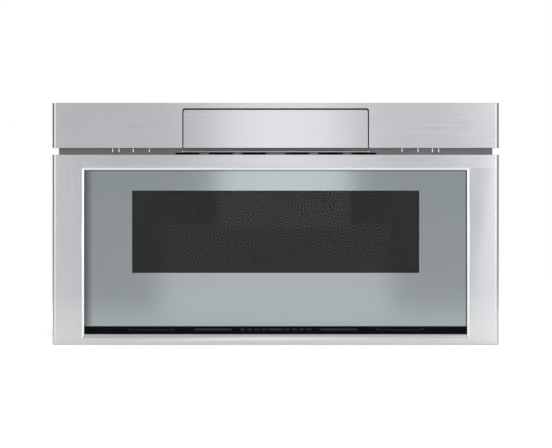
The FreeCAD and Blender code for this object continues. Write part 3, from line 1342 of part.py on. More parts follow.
# ================================================================ the rack drive
PINION_X = "(rack_x + gear_module * pinion_teeth / 2)"
RACK_SCREW_X = f"({RACK_BACK} + rack_screw_in)"
RACK_SCREW_Z = "(rack_low - rack_screw_drop)"
PRESSURE_ANGLE = math.radians(20)
FLANK_STEPS = 6


def make_rack():
    """A toothed bar fixed to the back of the drawer front, its teeth towards the middle."""
    module = size("gear_module")
    pitch = math.pi * module
    line = size("rack_x")
    root = line - DEDENDUM * module
    tip = line + module
    back = root - size("rack_back")
    start = -size("plate_thickness") - size("door_gap")
    end = size("travel") + size("pinion_y") + size("rack_overrun")
    slant = math.tan(PRESSURE_ANGLE)
    half = pitch / 4 - size("tooth_slack") / 4
    half_tip = half - module * slant
    half_root = half + DEDENDUM * module * slant
    points = [(back, start), (root, start)]
    first = math.ceil((start + size("rack_lead") - size("pinion_y")) / pitch)
    last = math.floor((end - half_root - size("pinion_y")) / pitch - 0.5)
    for number in range(first, last + 1):
        centre = size("pinion_y") + (number + 0.5) * pitch
        points += [(root, centre - half_root), (tip, centre - half_tip)]
        points += [(tip, centre + half_tip), (root, centre + half_root)]
    points += [(root, end), (back, end)]
    low = size("rack_low")
    outline = Part.makePolygon([Vector(x, y, low) for x, y in points + points[:1]])
    bar = Part.Face(outline).extrude(Vector(0, 0, size("rack_thickness")))
    foot_y = (PANEL_BACK, COVER_BACK)
    foot_z = ("rack_low - rack_foot_drop", RACK_PASSAGE_Z[1])
    foot = slab((f"{RACK_BACK} - rack_foot_side", "rack_x"), foot_y, foot_z)
    hole = rod("y", foot_y, RACK_SCREW_X, RACK_SCREW_Z, "screw_hole")
    node("rack", fuse(computed("rack_bar", bar), cut(foot, hole)))


def make_drive_pinion():
    """An involute pinion on its shaft, one tooth pointing at a gap of the rack."""
    module, teeth = size("gear_module"), int(size("pinion_teeth"))
    pitch_radius = module * teeth / 2
    base_radius = pitch_radius * math.cos(PRESSURE_ANGLE)
    tip_radius = pitch_radius + module
    root_radius = pitch_radius - DEDENDUM * module
    half = math.pi / (2 * teeth) - size("tooth_slack") / (4 * pitch_radius)

    def involute(angle):
        return math.tan(angle) - angle

    flank = []
    for step in range(FLANK_STEPS + 1):
        radius = base_radius + (tip_radius - base_radius) * step / FLANK_STEPS
        turn = half + involute(PRESSURE_ANGLE) - involute(math.acos(base_radius / radius))
        flank.append((radius, turn))
    flank.insert(0, (root_radius, flank[0][1]))
    points = []
    for number in range(teeth):
        centre = math.pi + number * 2 * math.pi / teeth
        points += [(radius, centre - turn) for radius, turn in flank]
        points += [(radius, centre + turn) for radius, turn in reversed(flank)]
    low = size("rack_low") - (size("pinion_face") - size("rack_thickness")) / 2
    corners = [Vector(r * math.cos(a), r * math.sin(a), low) for r, a in points]
    outline = Part.makePolygon(corners + corners[:1])
    gear = Part.Face(outline).extrude(Vector(0, 0, size("pinion_face")))
    place = (size("rack_x") + pitch_radius, size("pinion_y"), 0)
    shaft_z = ("gearbox_top - gear_shaft_in", "rack_low + pinion_face + hole_gap")
    shaft = rod("z", shaft_z, PINION_X, "pinion_y", "shaft_radius")
    node("drive_pinion", fuse(computed("pinion_gear", gear, place), shaft))


def make_drive_gearmotor():
    x = (f"{PINION_X} - gearbox_left", f"{PINION_X} + gearbox_right")
    y = around("pinion_y", "gearbox_depth / 2")
    corner = size("gearbox_corner")
    box = softened(slab(x, y, ("case_sheet", "gearbox_top")), corner, lambda edge: runs_along(edge, "z"))
    boss_z = ("gearbox_top", "gearbox_top + hole_gap")
    boss = rod("z", boss_z, PINION_X, "pinion_y", "boss_radius")
    motor_x = f"({PINION_X} + gearbox_right - drive_motor_radius - gearbox_corner)"
    motor_y = (y[1], f"{y[1]} + drive_motor_length")
    motor_level = "case_sheet + drive_motor_radius + hub_gap"
    motor = rod("y", motor_y, motor_x, motor_level, "drive_motor_radius")
    hole_z = ("gearbox_top - gear_shaft_in - hole_gap", "gearbox_top + hole_gap")
    hole = rod("z", hole_z, PINION_X, "pinion_y", "shaft_radius + shaft_gap")
    node("drive_gearmotor", cut(fuse(box, boss, motor), hole))


def make_rack_guide():
    """A plastic channel that holds the rack against the pinion."""
    y = around("pinion_y", "guide_block / 2")
    back = f"({RACK_BACK} - fit_gap)"
    low, high = "(rack_low - fit_gap)", "(rack_low + rack_thickness + fit_gap)"
    post_z = ("case_sheet", f"{high} + guide_lip")
    post = slab((f"{back} - guide_post", back), y, post_z)
    lip_x = (back, f"{back} + guide_grip")
    lips = [
        slab(lip_x, y, span)
        for span in ((f"{low} - guide_lip", low), (high, f"{high} + guide_lip"))
    ]
    foot = slab((f"{back} - guide_foot", back), y, ("case_sheet", "case_sheet + guide_lip"))
    node("rack_guide", fuse(post, *lips, foot))


# ================================================================ the drawer front
PANEL_HALF = f"({HALF_FRONT} - skin - fit_gap)"
PANEL_BOTTOM = f"({DRAWER_BOTTOM} + skin + fit_gap)"
PANEL_TOP = f"({DRAWER_TOP} - skin - fit_gap)"
CHOKE_BOTTOM = "(cavity_floor - choke_width)"
CHOKE_TOP = f"({CAVITY_TOP} + choke_width)"
TOP_SCREW_Y = f"({PANEL_BACK} - panel_fold / 2)"
GRILLE_TOP = f"({GLASS_BOTTOM} - fit_gap)"
GRILLE_BOTTOM = f"({OPENING_BOTTOM} - glass_overlap)"
GLASS_HALF = f"({HALF_OPENING} + glass_overlap)"
GLASS_TOP = f"({OPENING_TOP} + glass_overlap)"
POST_SCREW_X = "(post_start + post_width / 2)"
POST_SCREW_LEVELS = ("post_screw_low", "post_screw_high")


def pan(bottom, top):
    """A stainless pan over the whole width, open at the back, its upright front edges rounded."""
    back = PANEL_BACK
    outer = slab(middle(HALF_FRONT), (FACE, back), (bottom, top))
    inner_z = (f"{bottom} + skin", f"{top} - skin")
    inner = slab(middle(f"{HALF_FRONT} - skin"), (f"{FACE} + skin", back), inner_z)
    front = -size("front_depth")

    def outer_edge(edge):
        return runs_along(edge, "z") and abs(edge.Vertexes[0].Y - front) < NEAR

    def inner_edge(edge):
        return runs_along(edge, "z") and abs(edge.Vertexes[0].Y - front - size("skin")) < NEAR

    outer = softened(outer, size("edge_radius"), outer_edge)
    inner = softened(inner, size("edge_radius") - size("skin"), inner_edge)
    return outer, inner


def make_front_frame():
    """The stainless border of the drawer, with a bevel that falls in to the glass."""
    outer, inner = pan(DRAWER_BOTTOM, DRAWER_TOP)
    bevel_x = middle(f"{HALF_OPENING} + bevel")
    bevel_z = (f"{OPENING_BOTTOM} - bevel_low", f"{OPENING_TOP} + bevel")
    clear_x = middle(HALF_OPENING)
    clear_z = (OPENING_BOTTOM, OPENING_TOP)
    lip = slab(
        middle(f"{HALF_OPENING} + bevel + skin"),
        (FACE, GLASS_FRONT),
        (f"{OPENING_BOTTOM} - bevel_low - skin", f"{OPENING_TOP} + bevel + skin"),
    )
    slope = funnel((bevel_x, bevel_z), (clear_x, clear_z), (FACE, f"{FACE} + bevel_depth"))
    clear = slab(clear_x, (FACE, GLASS_FRONT), clear_z)
    holes = [
        rod("z", (f"{DRAWER_TOP} - skin", DRAWER_TOP), across, TOP_SCREW_Y, "screw_hole")
        for across in ("-(top_screw_x)", "top_screw_x")
    ]
    node("front_frame", cut(fuse(cut(outer, inner), lip), slope, clear, *holes))


def make_back_panel():
    fold_y = (f"{PANEL_BACK} - panel_fold", PANEL_FRONT)
    sheet_y = (PANEL_FRONT, PANEL_BACK)
    body = new_body("back_panel")
    block(body, "XZ", middle(PANEL_HALF), sheet_y, (PANEL_BOTTOM, PANEL_TOP))
    block(body, "XZ", middle(PANEL_HALF), fold_y, (f"{PANEL_TOP} - panel_sheet", PANEL_TOP))
    block(body, "XZ", middle(PANEL_HALF), fold_y, (PANEL_BOTTOM, f"{PANEL_BOTTOM} + panel_sheet"))
    side_x = (f"{PANEL_HALF} - panel_sheet", PANEL_HALF)
    block(body, "XZ", side_x, fold_y, (PANEL_BOTTOM, PANEL_TOP))
    block(body, "XZ", flipped(side_x), fold_y, (PANEL_BOTTOM, PANEL_TOP))
    hole_z = (f"{CHOKE_BOTTOM} - fit_gap", f"{CHOKE_TOP} + fit_gap")
    opening(body, "XZ", middle(f"{HALF_CHOKE} + fit_gap"), sheet_y, hole_z)
    for side in ("-", ""):
        top_z = (f"{PANEL_TOP} - panel_sheet", PANEL_TOP)
        bore(body, "XY", (f"{side}(top_screw_x)", TOP_SCREW_Y), top_z, "screw_hole")
        for level in ARM_SCREW_LEVELS:
            bore(body, "XZ", (f"{side}{ARM_SCREW_X}", level), sheet_y, "screw_hole")
        for level in POST_SCREW_LEVELS:
            bore(body, "XZ", (f"{side}{POST_SCREW_X}", level), sheet_y, "screw_hole")
    bore(body, "XZ", (RACK_SCREW_X, RACK_SCREW_Z), sheet_y, "screw_hole")
    for level in BRACKET_SCREW_LEVELS:
        bore(body, "XZ", (STRIKER_SCREW_X, level), sheet_y, "screw_hole")


def make_glazing():
    """Outer glass, its mirror layer and the perforated screen behind the window."""
    glass = new_body("door_glass")
    block(glass, "XZ", middle(GLASS_HALF), (GLASS_FRONT, GLASS_BACK), (GLASS_BOTTOM, GLASS_TOP))
    mask = new_body("glass_mask")
    mask_y = (GLASS_BACK, MASK_BACK)
    block(mask, "XZ", middle(GLASS_HALF), mask_y, (GLASS_BOTTOM, GLASS_TOP))
    opening(mask, "XZ", middle(HALF_WINDOW), mask_y, ("window_low", WINDOW_TOP))
    screen = new_body("window_screen")
    screen_y = (MASK_BACK, f"{MASK_BACK} + screen_thickness")
    screen_z = ("window_low - screen_border", f"{WINDOW_TOP} + screen_border")
    block(screen, "XZ", middle(f"{HALF_WINDOW} + screen_border"), screen_y, screen_z)


def make_glass_carrier():
    """The plate that presses the glass against the border, on posts from the back panel."""
    plate_y = (MASK_BACK, CARRIER_BACK)
    plate_z = (f"{GRILLE_BOTTOM} - carrier_border / 2", f"{GLASS_TOP} + carrier_border / 2")
    plate = slab(middle(f"{GLASS_HALF} + carrier_border"), plate_y, plate_z)
    seat_z = ("window_low - screen_border - fit_gap", f"{WINDOW_TOP} + screen_border + fit_gap")
    seat_y = (MASK_BACK, f"{MASK_BACK} + screen_thickness")
    seat = slab(middle(f"{HALF_WINDOW} + screen_border + fit_gap"), seat_y, seat_z)
    window = slab(middle(HALF_WINDOW), plate_y, ("window_low", WINDOW_TOP))
    post_x = ("post_start", "post_start + post_width")
    post = slab(post_x, (CARRIER_BACK, PANEL_FRONT), ("post_low", f"{CHOKE_TOP} - post_drop"))
    posts = [post, mirrored(post)]
    holes = []
    for level in POST_SCREW_LEVELS:
        hole_y = (f"{PANEL_FRONT} - post_bite - hole_gap", PANEL_FRONT)
        hole = rod("y", hole_y, POST_SCREW_X, level, "screw_hole")
        holes += [hole, mirrored(hole)]
    node("glass_carrier", cut(fuse(plate, *posts), seat, window, *holes))


def make_lower_grille():
    """The dark strip under the glass, with its row of air slots, mirrored about the middle."""
    strip_y = (GLASS_FRONT, f"{GLASS_FRONT} + grille_thickness")
    strip = slab(middle(GLASS_HALF), strip_y, (GRILLE_BOTTOM, GRILLE_TOP))
    ribs = [
        slab(middle(GLASS_HALF), (strip_y[1], MASK_BACK), span)
        for span in (
            (GRILLE_BOTTOM, f"{GRILLE_BOTTOM} + grille_thickness"),
            (f"{GRILLE_TOP} - grille_thickness / 2", GRILLE_TOP),
        )
    ]
    slot_z = around("grille_level", "grille_slot / 2")
    slots = [slab(middle("first_slot"), strip_y, slot_z)]
    for number in range(int(size("short_slots"))):
        left = f"(first_slot + slot_web + {number} * short_slot_pitch)"
        slot = slab((left, f"{left} + short_slot"), strip_y, slot_z)
        slots += [slot, mirrored(slot)]
    long_slot = slab(("long_slot_start", "long_slot_end"), strip_y, slot_z)
    slots += [long_slot, mirrored(long_slot)]
    tray_z = (slot_z[0], "grille_level")
    horn_z = ("grille_level - fit_gap", slot_z[1])
    tray = slab(("tray_start + tray_horn", "tray_end - tray_horn"), strip_y, tray_z)
    horns = [
        slab(span, strip_y, horn_z)
        for span in (
            ("tray_start", "tray_start + tray_horn * 11 / 10"),
            ("tray_end - tray_horn * 11 / 10", "tray_end"),
        )
    ]
    wide = fuse(tray, *horns)
    slots += [wide, mirrored(wide)]
    node("lower_grille", cut(fuse(strip, *ribs), *slots))


def make_choke():
    """The pan behind the glass with its trough round the oven's mouth, and the plastic cover."""
    outer = slab(middle(HALF_CHOKE), (CHOKE_FRONT, PANEL_BACK), (CHOKE_BOTTOM, CHOKE_TOP))
    flange = slab(
        middle(f"{HALF_CHOKE} + choke_lip"),
        (f"{PANEL_FRONT} - panel_sheet", PANEL_FRONT),
        (f"{CHOKE_BOTTOM} - choke_lip", f"{CHOKE_TOP} + choke_lip"),
    )
    trough_y = (f"{CHOKE_FRONT} + panel_sheet", PANEL_BACK)
    trough = cut(
        slab(middle(f"{HALF_CHOKE} - panel_sheet"), trough_y,
             (f"{CHOKE_BOTTOM} + panel_sheet", f"{CHOKE_TOP} - panel_sheet")),
        slab(middle(f"{HALF_CAVITY} + panel_sheet"), trough_y,
             ("cavity_floor - panel_sheet", f"{CAVITY_TOP} + panel_sheet")),
    )
    recess = slab(middle(HALF_CAVITY), (CHOKE_FRONT, PANEL_FRONT), ("cavity_floor", CAVITY_TOP))
    holes = [
        rod("y", (PANEL_FRONT, PANEL_BACK), across, level, "screw_hole")
        for across, level in TUB_SCREWS
    ]
    node("choke_pan", cut(fuse(outer, flange), trough, recess, *holes))
    cover_y = (PANEL_BACK, COVER_BACK)
    cover = slab(middle(f"{HALF_CHOKE} + choke_lip"), cover_y,
                 (f"{CHOKE_BOTTOM} - choke_lip", f"{CHOKE_TOP} + choke_lip"))
    hole = slab(middle(f"{HALF_TUB} + fit_gap"), cover_y,
                (f"{TUB_BOTTOM} - fit_gap", f"{CAVITY_TOP} - choke_lip"))
    node("choke_cover", cut(cover, hole))


def make_bumpers():
    y = (PANEL_BACK, f"{PLATE_FRONT} - fit_gap")
    pads = []
    for level in ("bumper_low", f"{DRAWER_TOP} - bumper_low"):
        round_pad = rod("y", y, f"{HALF_PLATE} - bumper_inset", level, "bumper_radius")
        pads += [round_pad, mirrored(round_pad)]
    node("bumpers", group(*pads))


# ================================================================ the tub
TUB_FRONT = f"({PANEL_BACK} + tub_wall)"
TUB_SIDE_SCREW = f"({HALF_TUB} - tub_flange / 2)"
TUB_SCREW_LEVELS = (f"({TUB_BOTTOM} + tub_screw_low)", f"({TUB_TOP} - tub_screw_drop)")
TUB_SCREWS = [
    (f"{side}{TUB_SIDE_SCREW}", level)
    for side in ("-", "")
    for level in TUB_SCREW_LEVELS
] + [
    (f"{side}(tub_screw_x)", f"({TUB_BOTTOM} + tub_screw_floor)")
    for side in ("-", "")
]


def make_tub():
    """The steel drawer itself: open on top, and in the floor where the shelf covers it."""
    outer = slab(middle(HALF_TUB), (PANEL_BACK, TUB_BACK), (TUB_BOTTOM, TUB_TOP))
    inner_half = f"({HALF_TUB} - tub_wall)"
    inner_y = (TUB_FRONT, f"{TUB_BACK} - tub_wall")
    inner = slab(middle(inner_half), inner_y, (f"{TUB_BOTTOM} + tub_wall", TUB_TOP))
    mouth = slab(middle(f"{HALF_TUB} - tub_flange"), (PANEL_BACK, TUB_FRONT),
                 (f"{TUB_BOTTOM} + tub_flange", TUB_TOP))
    floor = slab(
        middle(f"{inner_half} - shelf_ledge"),
        (f"{inner_y[0]} + shelf_ledge", f"{inner_y[1]} - shelf_ledge"),
        (TUB_BOTTOM, f"{TUB_BOTTOM} + tub_wall"),
    )
    rim_z = (f"{TUB_TOP} - tub_rim / 2", TUB_TOP)
    rim = cut(
        slab(middle(f"{HALF_TUB} + tub_rim"), ("rim_start", f"{TUB_BACK} + tub_rim"), rim_z),
        slab(middle(inner_half), ("rim_start", inner_y[1]), rim_z),
    )
    holes = [
        rod("y", (PANEL_BACK, TUB_FRONT), across, level, "screw_hole")
        for across, level in TUB_SCREWS
    ]
    node("tub", cut(fuse(cut(outer, inner), rim), mouth, floor, *holes))


def make_ceramic_shelf():
    shelf = new_body("ceramic_shelf")
    half = f"({HALF_TUB} - tub_wall - fit_gap)"
    y = (f"{TUB_FRONT} + fit_gap", f"{TUB_BACK} - tub_wall - fit_gap")
    low = f"({TUB_BOTTOM} + tub_wall)"
    block(shelf, "XY", middle(half), y, (low, f"{low} + shelf_thickness"))


def make_drawer_screws():
    screws = []
    for across, level in TUB_SCREWS:
        screws.append(screw("y", 1, TUB_FRONT, across, level, "tub_wall + panel_sheet + screw_bite"))
    through = "panel_sheet + cover_thickness"
    for level in ARM_SCREW_LEVELS:
        arm = screw("y", -1, PANEL_FRONT, ARM_SCREW_X, level, through)
        screws += [arm, mirrored(arm)]
    for level in POST_SCREW_LEVELS:
        post = screw("y", 1, PANEL_BACK, POST_SCREW_X, level, "panel_sheet + post_bite")
        screws += [post, mirrored(post)]
    for level in BRACKET_SCREW_LEVELS:
        screws.append(screw("y", -1, PANEL_FRONT, STRIKER_SCREW_X, level, through))
    screws.append(screw("y", -1, PANEL_FRONT, RACK_SCREW_X, RACK_SCREW_Z, through))
    top_length = "skin + fit_gap + panel_sheet + screw_bite"
    top = screw("z", 1, DRAWER_TOP, "top_screw_x", TOP_SCREW_Y, top_length)
    screws += [top, mirrored(top)]
    node("drawer_screws", group(*screws))


# ================================================================ the console
PIVOT_Y = f"({FACE} + pivot_back)"
PIVOT_Z = f"({BAND_BOTTOM} + pivot_up)"
SWING = "sqrt(touch_level ^ 2 + touch_reach ^ 2)"
HOUSE_FLOOR = f"({HOUSE_BOTTOM} + housing_wall)"
CARRIER_HALF = f"({HALF_FLAP} - skin - carrier_wall)"
CARRIER_TOP = f"({PIVOT_Z} + touch_level - touch_thickness)"
FLAP_INSIDE = f"({FACE} + skin)"
BOARD_Z = (f"{CARRIER_TOP} - board_gap - board_thickness", f"{CARRIER_TOP} - board_gap")


def make_console_band():
    """The stainless band over the drawer, with the opening for the tilting flap."""
    outer, inner = pan(BAND_BOTTOM, BAND_TOP)
    hole = slab(middle(HALF_FLAP_HOLE), (FACE, FLAP_INSIDE),
                (BAND_BOTTOM, f"{FLAP_TOP} + flap_top_gap"))
    doc.recompute()
    hole = softened(hole, size("flap_corner"), upper_corner(hole))
    under = slab(middle(f"{HALF_HOUSE} + fit_gap"), (FLAP_INSIDE, PANEL_BACK),
                 (BAND_BOTTOM, f"{BAND_BOTTOM} + skin"))
    holes = []
    for across in BAND_SCREWS:
        drill = rod("z", (BAND_BOTTOM, f"{BAND_BOTTOM} + skin"), across, BAND_SCREW_Y, "screw_hole")
        holes += [drill, mirrored(drill)]
    node("console_band", cut(cut(outer, inner), hole, under, *holes))


def make_band_brackets():
    """Steel brackets that hold the band to the mounting plate. Their tabs show in the air gap."""
    foot_y = (f"{PLATE_FRONT} - bracket_sheet", PLATE_FRONT)
    low = f"({BAND_BOTTOM} + skin)"
    high = f"({BAND_TOP} - skin)"
    foot = slab(("band_foot_start", "band_foot_end"), foot_y, (low, high))
    tabs = [
        slab(span, foot_y, (f"{BAND_BOTTOM} - tab_drop", low))
        for span in (
            ("wide_tab_end - wide_tab", "wide_tab_end"),
            ("small_tab_end - small_tab", "small_tab_end"),
        )
    ]
    arm_x = ("band_foot_start", "wide_tab_end")
    arm_y = (f"{BAND_SCREW_Y} - band_arm", foot_y[0])
    lower = slab(arm_x, arm_y, (low, f"{low} + bracket_sheet"))
    upper = slab(arm_x, arm_y, (f"{high} - bracket_sheet", high))
    holes = [
        rod("z", (low, f"{low} + bracket_sheet"), across, BAND_SCREW_Y, "screw_hole")
        for across in BAND_SCREWS
    ]
    node("band_brackets", both(cut(fuse(foot, *tabs, lower, upper), *holes)))


def make_console_housing():
    """The moulded tray that the flap swings in. Its cheeks hold the flap's hinge pins."""
    front = slab(middle(HALF_HOUSE), (FLAP_INSIDE, PLATE_FRONT), (HOUSE_BOTTOM, HOUSE_TOP))
    back_y = (PLATE_FRONT, f"{PIVOT_Y} + {SWING} + swing_gap + housing_wall")
    back = common(
        slab(middle(HALF_HOUSE), back_y, (HOUSE_BOTTOM, HOUSE_REAR_TOP)),
        rod("x", middle(HALF_HOUSE), PIVOT_Y, PIVOT_Z, f"{SWING} + swing_gap + housing_wall"),
    )
    inside = middle(HOUSE_SIDE)
    swept = common(
        rod("x", inside, PIVOT_Y, PIVOT_Z, f"{SWING} + swing_gap"),
        slab(inside, (FACE, "front_depth"), (HOUSE_FLOOR, HOUSE_TOP)),
    )
    upper = slab(inside, (FLAP_INSIDE, f"{PLATE_FRONT} - housing_wall"),
                 (HOUSE_FLOOR, f"{HOUSE_TOP} - housing_wall"))
    mouth = slab(inside, (FLAP_INSIDE, f"{PIVOT_Y} + pivot_up + 3 * swing_gap / 2"),
                 (HOUSE_BOTTOM, f"{HOUSE_BOTTOM} + mouth_height"))
    pins = rod("x", middle(HALF_HOUSE), PIVOT_Y, PIVOT_Z, "pin_radius + shaft_gap")
    node("console_housing", cut(fuse(front, back), swept, upper, mouth, pins))


def make_flap_skin():
    body = new_body("flap_skin")
    face = block(body, "XZ", middle(HALF_FLAP), (FACE, FLAP_INSIDE), (BAND_BOTTOM, FLAP_TOP))
    body.Tip = rounded(body, face, "flap_corner", upper_corner(face))
    reach = middle(f"{HALF_FLAP} - flap_corner")
    top_z = (f"{FLAP_TOP} - skin", FLAP_TOP)
    low_z = (BAND_BOTTOM, f"{BAND_BOTTOM} + skin")
    block(body, "XZ", reach, (FLAP_INSIDE, f"{FLAP_INSIDE} + top_fold"), top_z)
    block(body, "XZ", reach, (FLAP_INSIDE, f"{FLAP_INSIDE} + low_fold"), low_z)


def make_flap_carrier():
    """The moulded body of the flap: a front wall, a round-backed bin and two hinge pins."""
    low = f"({PIVOT_Z} - bin_drop)"
    reach = f"({PIVOT_Y} + {SWING})"
    half = CARRIER_HALF
    whole = slab(middle(half), (FLAP_INSIDE, reach), (low, CARRIER_TOP))
    outer = common(rod("x", middle(half), PIVOT_Y, PIVOT_Z, SWING), whole)
    inner_half = f"({half} - carrier_wall)"
    inner = common(
        rod("x", middle(inner_half), PIVOT_Y, PIVOT_Z, f"{SWING} - carrier_wall"),
        slab(middle(inner_half), (f"{FLAP_INSIDE} + carrier_wall", reach),
             (f"{low} + carrier_wall", CARRIER_TOP)),
    )
    rib_low = f"{low} + carrier_wall / 2"
    ribs = []
    for across in ("-(rib_x)", "0", "rib_x"):
        span = around(across, "rib_sheet / 2")
        ribs.append(common(
            rod("x", span, PIVOT_Y, PIVOT_Z, f"{SWING} - carrier_wall / 2"),
            slab(span, (f"{FLAP_INSIDE} + carrier_wall / 2", reach), (rib_low, BOARD_Z[0])),
        ))
    wall_z = (f"{BAND_BOTTOM} + skin + fit_gap", f"{FLAP_TOP} - skin")
    wall = slab(middle(f"{HALF_FLAP} - skin"), (FLAP_INSIDE, f"{FLAP_INSIDE} + carrier_wall"), wall_z)
    doc.recompute()
    wall = softened(wall, size("flap_corner") - size("skin"), upper_corner(wall))
    pin = rod("x", (f"{half} - pin_seat", f"{HALF_HOUSE} - pin_seat"), PIVOT_Y, PIVOT_Z, "pin_radius")
    node("flap_carrier", fuse(cut(outer, inner), *ribs, wall, pin, mirrored(pin)))


def make_touch_panel():
    """The glass with the touch keys, and its circuit board, on top of the flap's body."""
    front = f"({FLAP_INSIDE} + carrier_wall + fit_gap)"
    back = f"({PIVOT_Y} + touch_reach)"
    glass = new_body("touch_glass")
    glass_z = (CARRIER_TOP, f"{CARRIER_TOP} + touch_thickness")
    block(glass, "XY", middle(CARRIER_HALF), (front, back), glass_z)
    board = new_body("touch_board")
    board_y = (f"{front} + board_inset", f"{back} - board_inset")
    block(board, "XY", middle(f"{CARRIER_HALF} - carrier_wall - board_inset"), board_y, BOARD_Z)


def make_flap_latch():
    """The push latch for the flap, under the roof of the console."""
    top = f"({HOUSE_TOP} - housing_wall)"
    front = f"({FACE} + latch_start)"
    body_y = (front, f"{front} + latch_depth")
    hook_y = (f"{front} - latch_hook", front)
    body = slab(middle("latch_width / 2"), body_y, (f"{top} - latch_height", top))
    hook = slab(middle("latch_hook"), hook_y, (f"{top} - latch_height * 3 / 5", top))
    node("flap_latch", fuse(body, hook))


make_base_plate()
make_outer_case()
make_rear_plate()
make_cord_bushing()
make_case_screws()
make_front_plate()
make_cavity_box()
make_antenna_cover()
make_waveguide()
make_magnetron()
make_antenna_rotor()
make_antenna_motor()
make_hv_transformer()
make_hv_capacitor()
make_fan_shroud()
make_fan_motor()
make_fan_wheel()
make_power_board()
make_noise_filter()
make_cavity_lamp()
make_thermal_cutouts()
make_interlock()
make_striker()
make_rails()
make_rail_brackets()
make_rail_arms()
make_rack()
make_drive_pinion()
make_drive_gearmotor()
make_rack_guide()
make_front_frame()
make_back_panel()
make_glazing()
make_glass_carrier()
make_lower_grille()
make_choke()
make_bumpers()
make_tub()
make_ceramic_shelf()
make_drawer_screws()
make_console_band()
make_band_brackets()
make_console_housing()
make_flap_skin()
make_flap_carrier()
make_touch_panel()
make_flap_latch()

doc.recompute()
for item in doc.Objects:
    if "Invalid" in item.State or "Error" in item.State:
        raise ValueError(f"{item.Label} did not build: {item.State}")
os.makedirs("parts", exist_ok=True)
for label, item in NODES.items():
    shape = item.Shape
    if shape.isNull() or not shape.isValid() or not shape.Solids:
        raise ValueError(f"{label} has no valid shape")
    shape.exportStep(f"parts/{label}.step")
    print(f"{label}: {len(shape.Solids)} solids, {shape.Volume / 1000:.1f} cm3")
print(f"{len(NODES)} pieces")
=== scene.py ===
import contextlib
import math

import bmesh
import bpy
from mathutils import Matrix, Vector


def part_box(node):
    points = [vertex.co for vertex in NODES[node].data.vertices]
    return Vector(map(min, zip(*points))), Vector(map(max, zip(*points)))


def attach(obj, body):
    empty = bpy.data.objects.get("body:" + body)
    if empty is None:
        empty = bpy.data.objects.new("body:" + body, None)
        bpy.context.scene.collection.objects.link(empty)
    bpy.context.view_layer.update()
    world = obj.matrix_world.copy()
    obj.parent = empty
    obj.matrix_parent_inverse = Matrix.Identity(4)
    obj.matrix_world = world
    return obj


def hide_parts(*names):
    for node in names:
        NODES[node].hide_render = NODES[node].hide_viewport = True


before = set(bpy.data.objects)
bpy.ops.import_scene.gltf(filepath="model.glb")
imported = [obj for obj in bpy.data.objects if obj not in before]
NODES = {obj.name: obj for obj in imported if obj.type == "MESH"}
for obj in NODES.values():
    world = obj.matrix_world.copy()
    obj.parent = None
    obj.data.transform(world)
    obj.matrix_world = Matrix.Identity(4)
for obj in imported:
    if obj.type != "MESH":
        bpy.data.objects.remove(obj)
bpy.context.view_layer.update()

# %% [markdown]
# # A microwave drawer, dressed piece by piece
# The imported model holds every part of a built-in microwave oven of the drawer kind at its real
# place, in metres. X runs to the right, Y to the back and Z up. The stainless fronts stand at
# negative Y. This lesson sets up a plain studio, makes the finishes as node materials, models the
# pieces whose edges and details the eye notices, and leaves the rest of the model's own solids in
# place with a finish of their own.

MM = 0.001


def rounded(metres):
    """Lengths with four digits, for the prints."""
    return [round(value, 4) for value in metres]


# %% [markdown]
# ## The camera
# A product photograph of a flat front is taken from far away with a long lens, so the sides don't
# show and all edges stay parallel. The camera looks straight along Y at the middle of the picture.
# Its distance follows from the lens and from how wide a strip of the object's face the picture
# takes in.

# %% The camera
SENSOR = 36.0
LENS = 300.0
FAR_END = 60
PICTURE_WIDTH = 552
PICTURE_HEIGHT = 448
PIXEL = 1.6987 * MM
FRONT_BOTTOM_PIXEL = 345.1
MIDDLE_PIXEL = 275.65
FACE_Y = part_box("front_frame")[0].y
FRONT_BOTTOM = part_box("front_frame")[0].z

half_angle = math.atan(SENSOR / 2 / LENS)
distance = PICTURE_WIDTH * PIXEL / 2 / math.tan(half_angle)
camera_x = (PICTURE_WIDTH / 2 - MIDDLE_PIXEL) * PIXEL
camera_z = FRONT_BOTTOM + (FRONT_BOTTOM_PIXEL - PICTURE_HEIGHT / 2) * PIXEL
bpy.ops.object.select_all(action="DESELECT")
bpy.ops.object.camera_add(location=(camera_x, FACE_Y - distance, camera_z), rotation=(math.pi / 2, 0, 0))
camera = bpy.context.object
camera.data.sensor_width = SENSOR
camera.data.lens = LENS
camera.data.clip_end = FAR_END
bpy.context.scene.camera = camera
bpy.context.scene.view_settings.view_transform = "Standard"
print("camera", round(distance, 2), "m from the face")

# %% [markdown]
# ## Helpers for node materials
# A material here is a Principled shader fed by a few nodes. A handful of small helpers keep the
# cells short: each adds one kind of node, feeds it with outputs of other nodes or with plain
# numbers, and gives back what comes out of it.


# %% Helpers for nodes
def add_node(tree, kind, settings=None, **inputs):
    """A shader node with its properties and the default values of its sockets set."""
    node = tree.nodes.new("ShaderNode" + kind)
    for name, value in (settings or {}).items():
        setattr(node, name, value)
    for name, value in inputs.items():
        node.inputs[name.replace("_", " ")].default_value = value
    return node


def feed(tree, value, target):
    """Joins an output to an input, or sets the input to a number or a colour."""
    if isinstance(value, tuple):
        target.default_value = (*value, 1)
    elif isinstance(value, (int, float)):
        target.default_value = value
    else:
        tree.links.new(value, target)


def calc(tree, operation, first, second=None, clamp=False):
    """A Math node on one or two outputs or numbers."""
    node = add_node(tree, "Math", {"operation": operation, "use_clamp": clamp})
    feed(tree, first, node.inputs[0])
    if second is not None:
        feed(tree, second, node.inputs[1])
    return node.outputs[0]


def share_out(tree, first, share, second):
    """A share of the first number, and the rest of the second."""
    return calc(tree, "ADD", calc(tree, "MULTIPLY", first, share), calc(tree, "MULTIPLY", second, 1 - share))


